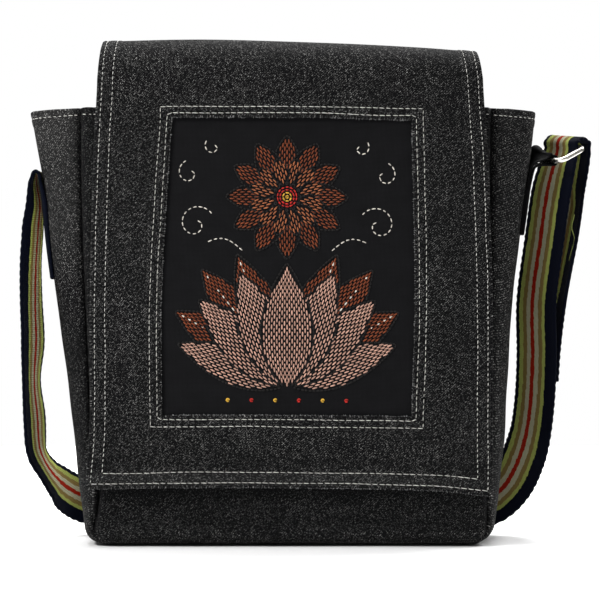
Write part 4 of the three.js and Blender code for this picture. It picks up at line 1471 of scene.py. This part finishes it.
@dataclass
class RingFitting:
    """The folded black tab on the right side and the nickel ring that it holds."""

    body: BodyShape
    ring: RingFrame
    cotton: Material
    nickel: Material
    thread: Material
    tab_width: float = 20.0
    tab_thickness: float = 1.1
    tab_forward: float = 3.8
    ring_inner: Pair = (34.0, 18.0)
    bar: float = 3.4
    corner: float = 5.2
    seam: Seam = Seam(3.4, 0.6, 0.9, "D5CFC0")
    seam_rows: tuple[int, int] = (-4, -36)
    stitch_lift: float = 0.1
    tab_leaves: Pair = (240.0, 256.0)  # heights between which the tab leaves the side
    pieces: list[Piece] = field(default_factory=list)

    def build(self, rests_on: list[Piece]) -> list[Piece]:
        """Builds and dresses the tab, its stitches and the ring."""
        grid = self.tab_grid()
        slab = ClothSlab(grid, self.tab_thickness / 2.0, self.tab_thickness / 2.0)
        tab = dress(slab.build("ring_tab_cotton"), self.cotton)
        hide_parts("ring_tab")
        loop = dress(self.loop(), self.nickel)
        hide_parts("strap_ring")
        stitches = dress(self.tab_stitches(grid), self.thread)
        self.pieces += [tab, loop, stitches]
        return self.pieces

    def tab_grid(self) -> Array:
        """The tab's middle surface: up the gusset, round the ring's bar and down over itself."""
        inner, (outer, away) = np.array([212.0, 228.0, 244.0, 258.0]), np.array(TAB_OUTER_ROWS).T
        depth = np.full(4, -self.tab_forward)
        inside = np.column_stack([self.body.fold(Side.RIGHT, inner) + 2.0, depth, inner])
        outside = np.column_stack([self.body.fold(Side.RIGHT, outer) + away, depth, outer])
        outward = unit(np.array([-self.ring.long[1], self.ring.long[0], 0.0]))
        by_bar = np.array(TAB_BAR_ROWS)
        loop = self.ring.tab_bar + by_bar[:, :1] * outward + by_bar[:, 1:2] * (0.0, 0.0, 1.0)
        level = np.tile((0.0, -1.0, 0.0), (4, 1))
        ways = np.vstack([level, self.ring.long - by_bar[:, 2:] * (0.0, 0.0, 1.0), level])
        width = self.tab_width - self.tab_thickness
        grid = band_grid(np.vstack([inside, loop, outside]), ways, width, np.linspace(-1.0, 1.0, 19), 150)
        lying = 1.0 - ease(grid[..., 2], *self.tab_leaves)
        grid[..., 0] -= self.body.fall(Side.RIGHT, grid[..., 1], grid[..., 2]) * lying
        return grid

    def tab_stitches(self, grid: Array) -> Piece:
        """White stitches across the tab's lower end and below the ring."""
        normals = surface_normals(grid)
        rows = []
        for number in self.seam_rows:
            line = grid[number] + normals[number] * (self.tab_thickness / 2.0 + self.stitch_lift)
            rows.append(Stitches.along(line, normals[number], self.seam, 90 - number))
        return Stitches.joined(rows).build("ring_tab_stitches", 0.2)

    def loop(self) -> Piece:
        """The ring: a rounded square section carried round a rectangle with rounded corners.

        The middle line is four straight runs joined by quarter circles; the section's radius follows a power
        of the sine and cosine that lies between a circle and a square.
        """
        half = np.array([self.ring_inner[0] + self.bar, self.ring_inner[1] + self.bar]) / 2.0 - self.corner
        turn = np.linspace(0.0, np.pi / 2.0, 11)
        corners = []
        for number, (a, b) in enumerate(((1, 1), (-1, 1), (-1, -1), (1, -1))):
            angle = turn + number * np.pi / 2.0
            way = np.column_stack([np.cos(angle), np.sin(angle)])
            corners.append(np.column_stack([half * (a, b) + self.corner * way, way]))
        rim = np.concatenate(corners)
        normal = np.cross(self.ring.long, self.ring.short)
        centre = np.array(self.ring.centre) + rim[:, :1] * self.ring.long + rim[:, 1:2] * self.ring.short
        outward = rim[:, 2:3] * self.ring.long + rim[:, 3:4] * self.ring.short
        sides = 24
        spin = np.linspace(0.0, 2.0 * np.pi, sides, endpoint=False)
        square = 1.0 / (np.abs(np.cos(spin)) ** 3 + np.abs(np.sin(spin)) ** 3) ** (1.0 / 3.0)
        cos, sin = (square * np.cos(spin))[None, :, None], (square * np.sin(spin))[None, :, None]
        points = centre[:, None] + (outward[:, None] * cos + normal * sin) * (self.bar / 2.0)
        number = np.arange(len(rim) * sides).reshape(len(rim), sides)
        ahead = np.roll(number, -1, axis=0)
        faces = np.stack([number, ahead, np.roll(ahead, -1, axis=1), np.roll(number, -1, axis=1)], axis=-1)
        return make_object("strap_ring_metal", points.reshape(-1, 3), faces.reshape(-1, 4).tolist())


BAND_SCALE = 0.314  # a wave texture's scale times its wavelength, for bands along an axis
SLANT_SCALE = 0.628  # the same for slanted bands
NOISE = {"From Min": 0.3, "From Max": 0.7}  # where most of a noise texture's values lie


def plug(tree: bpy.types.NodeTree, target: bpy.types.Node, inputs: dict) -> None:
    """Sets a node's inputs, each to a value, a socket or another node's first output."""
    for key, value in inputs.items():
        source = value.outputs[0] if isinstance(value, bpy.types.Node) else value
        if isinstance(source, bpy.types.NodeSocket):
            tree.links.new(source, target.inputs[key])
        else:
            target.inputs[key].default_value = source


def node(tree: bpy.types.NodeTree, kind: str, inputs: dict | None = None,
         **settings: object) -> bpy.types.Node:
    """Adds a node with its settings and links.

    Args:
        tree: the tree to add to.
        kind: the node's type, after the word ShaderNode.
        inputs: a value, a socket or another node for each input, by the input's name or number.
        settings: the node's own properties.

    Returns:
        The new node.
    """
    made = tree.nodes.new("ShaderNode" + kind)
    for key, value in settings.items():
        setattr(made, key, value)
    plug(tree, made, inputs or {})
    return made


def new_material(name: str) -> tuple[Material, bpy.types.NodeTree, bpy.types.Node]:
    """A material with an empty node tree and a linked Principled shader."""
    material = bpy.data.materials.new(name)
    material.use_nodes = True
    tree = material.node_tree
    tree.nodes.clear()
    shader = node(tree, "BsdfPrincipled")
    node(tree, "OutputMaterial", {"Surface": shader})
    return material, tree, shader


def dress(piece: Piece, material: Material) -> Piece:
    """Gives a piece its material and the body that it rides on."""
    piece.data.materials.append(material)
    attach(piece, BODY)
    return piece


@dataclass(frozen=True)
class Denim:
    """Black denim, a twill of black warp over grey weft: specks along slanted ribs, and soft streaks."""

    warp: str = "0B0B0C"
    weft: str = "8C8B89"
    speck: float = 0.46
    contrast: float = 8.0
    # how far wear and painted light past plain cloth lighten it evenly
    wear_and_light_lift: float = 0.056
    rib: float = 1.7  # real twill ribs are about 1 mm apart; drawn coarser so that they show
    streak: Pair = (2.6, 30.0)
    patch: Pair = (26.0, 34.0)
    roughness: float = 0.85
    specular: float = 0.05

    def material(self) -> Material:
        """Cells of chance brightness, dimmed between slanted ribs and brighter on worn cloth and under
        painted light, with bump.

        Up to plain cloth's value the specks follow the wear and painted light; past that a quarter of the
        rest goes to the specks, and the remainder lightens the cloth evenly.
        """
        material, tree, shader = new_material("black_denim")
        cloth = node(tree, "Attribute", attribute_name="cloth").outputs["Vector"]
        wear_and_painted_light = node(tree, "Attribute", attribute_name="wear_and_painted_light").outputs["Fac"]
        cells = node(tree, "TexVoronoi", {"Vector": cloth, "Scale": 1.0 / self.speck, "Randomness": 0.9},
                     voronoi_dimensions="2D", feature="F1")
        chance = node(tree, "SeparateColor", {"Color": cells.outputs["Color"]})
        power = node(tree, "Math", {0: chance, 1: self.contrast}, operation="POWER")
        ribs = node(tree, "TexWave", {"Vector": cloth, "Scale": SLANT_SCALE / self.rib, "Distortion": 0.8,
                    "Detail": 1.0}, bands_direction="DIAGONAL")
        rise = node(tree, "MapRange", {"Value": ribs.outputs["Fac"], "To Min": 0.05, "To Max": 1.0})
        speck = node(tree, "Math", {0: power, 1: rise}, operation="MULTIPLY")
        stretch = (1.0 / self.streak[0], 1.0 / self.streak[1], 1.0)
        slub = node(tree, "Mapping", {"Vector": cloth, "Scale": stretch})
        slub = node(tree, "TexNoise", {"Vector": slub, "Scale": 1.0, "Detail": 3.0})
        amount = node(tree, "MapRange", {"Value": slub, **NOISE, "To Min": 0.6, "To Max": 1.4})
        stretch = (1.0 / self.patch[0], 1.0 / self.patch[1], 1.0)
        patch = node(tree, "Mapping", {"Vector": cloth, "Scale": stretch})
        patch = node(tree, "TexNoise", {"Vector": patch, "Scale": 1.0, "Detail": 2.0})
        wear = node(tree, "MapRange", {"Value": patch, **NOISE, "To Min": 0.75, "To Max": 1.25})
        share = node(tree, "Math", {0: wear_and_painted_light, 1: 0.25, 2: 0.75}, operation="MULTIPLY_ADD")
        share = node(tree, "Math", {0: wear_and_painted_light, 1: share}, operation="MINIMUM")
        past_plain = node(tree, "Math", {0: wear_and_painted_light, 1: share}, operation="SUBTRACT")
        for factor in (wear, share, speck):
            amount = node(tree, "Math", {0: amount, 1: factor}, operation="MULTIPLY")
        amount = node(tree, "Math", {0: past_plain, 1: self.wear_and_light_lift, 2: amount}, operation="MULTIPLY_ADD")
        colour = node(tree, "Mix", {0: amount, 6: linear(self.warp), 7: linear(self.weft)}, data_type="RGBA",
                      clamp_factor=False)
        bump = node(tree, "Bump", {"Height": rise, "Strength": 0.5, "Distance": 0.0003})
        plug(tree, shader, {"Base Color": colour.outputs[2], "Normal": bump, "Roughness": self.roughness,
                            "Specular IOR Level": self.specular})
        return material


@dataclass(frozen=True)
class BlackCotton:
    """Dyed plain-weave cotton: even near-black with a faint fine grid."""

    name: str = "black_cotton"
    colour: str = "0D0D0E"
    high: str = "1F1F21"
    thread: float = 0.85  # real threads are about 0.3 mm; drawn coarser so that the weave shows
    gain: float = 1.6
    roughness: float = 0.8
    specular: float = 0.06

    def material(self) -> Material:
        """Two crossed waves make the weave; slow noise shades it."""
        material, tree, shader = new_material(self.name)
        cloth = node(tree, "Attribute", attribute_name="cloth").outputs["Vector"]
        threads = {"Vector": cloth, "Scale": BAND_SCALE / self.thread, "Distortion": 1.2, "Detail": 1.0}
        warp, weft = (node(tree, "TexWave", threads, bands_direction=way).outputs["Fac"] for way in "XY")
        weave = node(tree, "Math", {0: warp, 1: weft}, operation="MULTIPLY")
        amount = node(tree, "TexNoise", {"Vector": cloth, "Scale": 0.09, "Detail": 4.0})
        amount = node(tree, "Math", {0: weave, 1: amount}, operation="MULTIPLY")
        amount = node(tree, "Math", {0: amount, 1: self.gain}, operation="MULTIPLY")
        colour = node(tree, "Mix", {0: amount, 6: linear(self.colour), 7: linear(self.high)},
                      data_type="RGBA")
        bump = node(tree, "Bump", {"Height": weave, "Strength": 0.4, "Distance": 0.0002})
        plug(tree, shader, {"Base Color": colour.outputs[2], "Normal": bump, "Roughness": self.roughness,
                            "Specular IOR Level": self.specular})
        return material


@dataclass(frozen=True)
class StripedWebbing:
    """Woven cotton webbing: lengthwise colour stripes, fine cross ribs, and broad navy on one edge."""

    width: float = 29.8  # the flat face between the rounded edges
    rib: float = 1.5  # real ribs are about 0.8 mm; drawn coarser so that they show
    stray: float = 1.3  # how far a stripe's edge wanders
    stripes: tuple[tuple[float, str], ...] = (
        (0.0, "060A18"),
        (2.0, "9CA556"),
        (4.9, "7E6A3C"),
        (7.8, "A8A588"),
        (10.8, "921E0C"),
        (13.8, "A8A588"),
        (17.0, "7E6A3C"),
        (20.0, "9CA556"),
        (22.4, "060A18"),
    )
    roughness: float = 0.85
    specular: float = 0.04
    sheen: float = 0.012

    def material(self) -> Material:
        """A stepped ramp over the place across, shaded by ribs and by chance, and by the painted light and
        shade along the strap.
        """
        material, tree, shader = new_material("striped_cotton_webbing")
        cloth = node(tree, "Attribute", attribute_name="cloth").outputs["Vector"]
        wear_and_painted_light = node(tree, "Attribute", attribute_name="wear_and_painted_light").outputs["Fac"]
        fuzz = node(tree, "TexNoise", {"Vector": cloth, "Scale": 0.28, "Detail": 4.0, "Roughness": 0.65})
        fuzz = node(tree, "MapRange", {"Value": fuzz, "To Min": -self.stray, "To Max": self.stray})
        across = node(tree, "SeparateXYZ", {0: cloth})
        across = node(tree, "Math", {0: across, 1: fuzz}, operation="ADD")
        half = self.width / 2.0
        share = node(tree, "MapRange", {"Value": across, "From Min": -half, "From Max": half})
        ramp = node(tree, "ValToRGB", {0: share})
        ramp.color_ramp.interpolation = "CONSTANT"
        for number, (start, colour) in enumerate(self.stripes):
            stops = ramp.color_ramp.elements
            stop = stops[number] if number < 2 else stops.new(start / self.width)
            stop.position = start / self.width
            stop.color = linear(colour)
        ribs = node(tree, "TexWave", {"Vector": cloth, "Scale": BAND_SCALE / self.rib, "Distortion": 0.8,
                    "Detail": 1.0}, bands_direction="Y")
        grain = node(tree, "Mapping", {"Vector": cloth, "Scale": (1.6, 0.35, 1.0)})
        grain = node(tree, "TexNoise", {"Vector": grain, "Scale": 1.0, "Detail": 3.0})
        light = node(tree, "Math", {0: ribs.outputs["Fac"], 1: grain}, operation="MULTIPLY")
        light = node(tree, "MapRange", {"Value": light, "From Max": 0.7, "To Min": 0.6, "To Max": 1.25})
        # the painted light and shade along the strap
        light = node(tree, "Math", {0: light, 1: wear_and_painted_light}, operation="MULTIPLY")
        colour = node(tree, "Mix", {0: 1.0, 6: ramp, 7: light}, data_type="RGBA", blend_type="MULTIPLY")
        bump = node(tree, "Bump", {"Height": ribs.outputs["Fac"], "Strength": 0.5, "Distance": 0.0003})
        plug(tree, shader, {"Base Color": colour.outputs[2], "Normal": bump, "Roughness": self.roughness,
                            "Specular IOR Level": self.specular, "Sheen Weight": self.sheen})
        return material


@dataclass(frozen=True)
class SewingThread:
    """Spun cotton thread: matt, with fine light and dark from its twist."""

    name: str
    twist: float = 1.1  # real twist is about 0.5 mm; drawn coarser so that it shows
    roughness: float = 0.75
    specular: float = 0.3

    def material(self) -> Material:
        """Each thread's own dye, shaded by noise at the twist's size."""
        material, tree, shader = new_material(self.name)
        place = node(tree, "TexCoord").outputs["Object"]
        fuzz = node(tree, "TexNoise", {"Vector": place, "Scale": PER_METRE / self.twist, "Detail": 2.0})
        light = node(tree, "MapRange", {"Value": fuzz, **NOISE, "To Min": 0.72, "To Max": 1.1})
        base = node(tree, "Attribute", attribute_name="dye").outputs["Color"]
        colour = node(tree, "Mix", {0: 1.0, 6: base, 7: light}, data_type="RGBA", blend_type="MULTIPLY")
        bump = node(tree, "Bump", {"Height": fuzz, "Strength": 0.4, "Distance": 0.0002})
        plug(tree, shader, {"Base Color": colour.outputs[2], "Normal": bump, "Roughness": self.roughness,
                            "Specular IOR Level": self.specular})
        return material


@dataclass(frozen=True)
class NickelPlate:
    """Nickel-plated steel wire: bright warm grey with fine scuffs that blur its reflections."""

    colour: str = "D8D4CC"
    scuff: float = 1.2
    roughness: Pair = (0.16, 0.34)

    def material(self) -> Material:
        """Noise sets where the plate is scuffed."""
        material, tree, shader = new_material("nickel_plate")
        least, most = self.roughness
        place = node(tree, "TexCoord").outputs["Object"]
        scuff = node(tree, "TexNoise", {"Vector": place, "Scale": PER_METRE / self.scuff, "Detail": 3.0})
        rough = node(tree, "MapRange", {"Value": scuff, **NOISE, "To Min": least, "To Max": most})
        plug(tree, shader, {"Base Color": linear(self.colour), "Metallic": 1.0, "Roughness": rough})
        return material


@dataclass(frozen=True)
class StudioPaper:
    """Matt white studio paper with a trace of tooth."""

    colour: str = "F4F4F4"
    tooth: float = 4.0
    roughness: float = 0.9

    def material(self) -> Material:
        """Plain white with a faint bump."""
        material, tree, shader = new_material("studio_paper")
        place = node(tree, "TexCoord").outputs["Object"]
        tooth = node(tree, "TexNoise", {"Vector": place, "Scale": PER_METRE / self.tooth})
        bump = node(tree, "Bump", {"Height": tooth, "Strength": 0.05, "Distance": 0.0002})
        plug(tree, shader, {"Base Color": linear(self.colour), "Normal": bump, "Roughness": self.roughness})
        return material


@dataclass(frozen=True)
class Lamp:
    """A square soft box: where it stands, what it looks at, its side and its power."""

    name: str
    place: tuple[float, float, float]
    aim: tuple[float, float, float]
    side: float
    power: float


@dataclass
class Studio:
    """A white floor under soft boxes, and a level camera straight before the bag."""

    view_width: float = 0.405  # what the frame shows at the flap's face
    distance: float = 1.6
    face: float = -0.042
    aim: Pair = (0.00675, 0.1667)
    sensor: float = 36.0
    floor_radius: float = 1100.0
    floor_rings: int = 24
    floor_sides: int = 64
    floor_drop: float = 0.3
    sky_light: Pair = (0.22, 1.0)  # what lights the bag, and what the camera sees
    lamps: tuple[Lamp, ...] = (
        Lamp("key_light", (-0.95, -0.75, 1.2), (0.0, 0.0, 0.18), 0.5, 22.0),
        Lamp("fill_light", (1.5, -1.6, 0.7), (0.0, 0.0, 0.16), 1.2, 2.0),
        Lamp("top_light", (0.0, 0.3, 1.9), (0.0, 0.0, 0.1), 1.6, 36.0),
        Lamp("floor_light", (0.0, 1.1, 1.5), (0.0, 0.75, 0.0), 1.4, 30.0),
        Lamp("shadow_light", (0.9, 0.55, 0.8), (0.36, 0.2, 0.0), 0.5, 12.0),
    )

    def build(self) -> Piece:
        """Builds the floor, the sky, the lamps and the camera."""
        floor = self.floor()
        floor.data.materials.append(StudioPaper().material())
        self.sky()
        for lamp in self.lamps:
            self.light(lamp)
        self.camera()
        bpy.context.scene.view_settings.view_transform = "Standard"
        return floor

    def floor(self) -> Piece:
        """A round floor: rings of points whose radius grows with the square of their number."""
        rings, sides = self.floor_rings, self.floor_sides
        radius = self.floor_radius * np.linspace(0.01, 1.0, rings) ** 2
        turn = np.linspace(0.0, 2.0 * np.pi, sides, endpoint=False)
        ring = np.column_stack([np.cos(turn), np.sin(turn), np.zeros(sides)])
        points = (radius[:, None, None] * ring).reshape(-1, 3) - (0.0, 0.0, self.floor_drop)
        number = np.arange(rings * sides).reshape(rings, sides)
        ahead = np.roll(number, -1, axis=1)
        faces = np.stack([number[:-1], number[1:], ahead[1:], ahead[:-1]], axis=-1).reshape(-1, 4).tolist()
        return make_object("studio_floor", points, faces + [number[0].tolist()])

    def sky(self) -> None:
        """Even white light from all round, dimmer on the bag than the camera sees it."""
        world = bpy.data.worlds.new("studio_sky")
        bpy.context.scene.world = world
        world.use_nodes = True
        tree = world.node_tree
        tree.nodes.clear()
        dim, bright = self.sky_light
        seen = node(tree, "LightPath").outputs["Is Camera Ray"]
        strength = node(tree, "MapRange", {"Value": seen, "To Min": dim, "To Max": bright})
        light = node(tree, "Background", {"Color": (1.0, 1.0, 1.0, 1.0), "Strength": strength})
        node(tree, "OutputWorld", {"Surface": light})

    def light(self, lamp: Lamp) -> None:
        """Hangs one soft box and turns it to its aim."""
        data = bpy.data.lights.new(lamp.name, "AREA")
        data.size = lamp.side
        data.energy = lamp.power
        box = bpy.data.objects.new(lamp.name, data)
        way = Vector(lamp.aim) - Vector(lamp.place)
        box.location = lamp.place
        box.rotation_euler = way.to_track_quat("-Z", "Y").to_euler()
        bpy.context.scene.collection.objects.link(box)

    def camera(self) -> None:
        """A level camera that sees the view's width at the flap's face."""
        data = bpy.data.cameras.new("photo_camera")
        data.sensor_width = self.sensor
        data.lens = self.sensor * self.distance / self.view_width
        data.clip_end = 30.0
        camera = bpy.data.objects.new("photo_camera", data)
        camera.location = (self.aim[0], self.face - self.distance, self.aim[1])
        camera.rotation_euler = (np.pi / 2.0, 0.0, 0.0)
        bpy.context.scene.collection.objects.link(camera)
        bpy.context.scene.camera = camera


def main() -> None:
    """Builds the studio and the bag's sub-assemblies in order, and reports each piece."""
    logging.basicConfig(level=logging.INFO, format="%(name)s: %(message)s")
    Studio().build()
    denim = Denim().material()
    thread = SewingThread("cotton_sewing_thread").material()
    body_shape = BodyShape()
    flap_shape = FlapShape(body_shape)
    ring_frame = RingFrame()
    body = BagBody(body_shape, denim, thread).build()
    flap = Flap(flap_shape, denim, thread).build(rests_on=body[:2])
    panel = EmbroideredPanel(flap_shape, BlackCotton().material(),
                             SewingThread("embroidery_thread").material()).build(rests_on=flap[:1])
    fitting = RingFitting(body_shape, ring_frame, BlackCotton("tab_cotton", "050506", "0B0B0C").material(),
                          NickelPlate().material(), thread).build(rests_on=[body[2]])
    strap = ShoulderStrap(body_shape, ring_frame, StripedWebbing().material(), thread)
    strap_pieces = strap.build(rests_on=[body[2], fitting[1]])
    for piece in body + flap + panel + fitting + strap_pieces:
        LOG.info("%s: %d faces", piece.name, len(piece.data.polygons))
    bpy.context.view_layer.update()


if __name__ == "__main__":
    main()
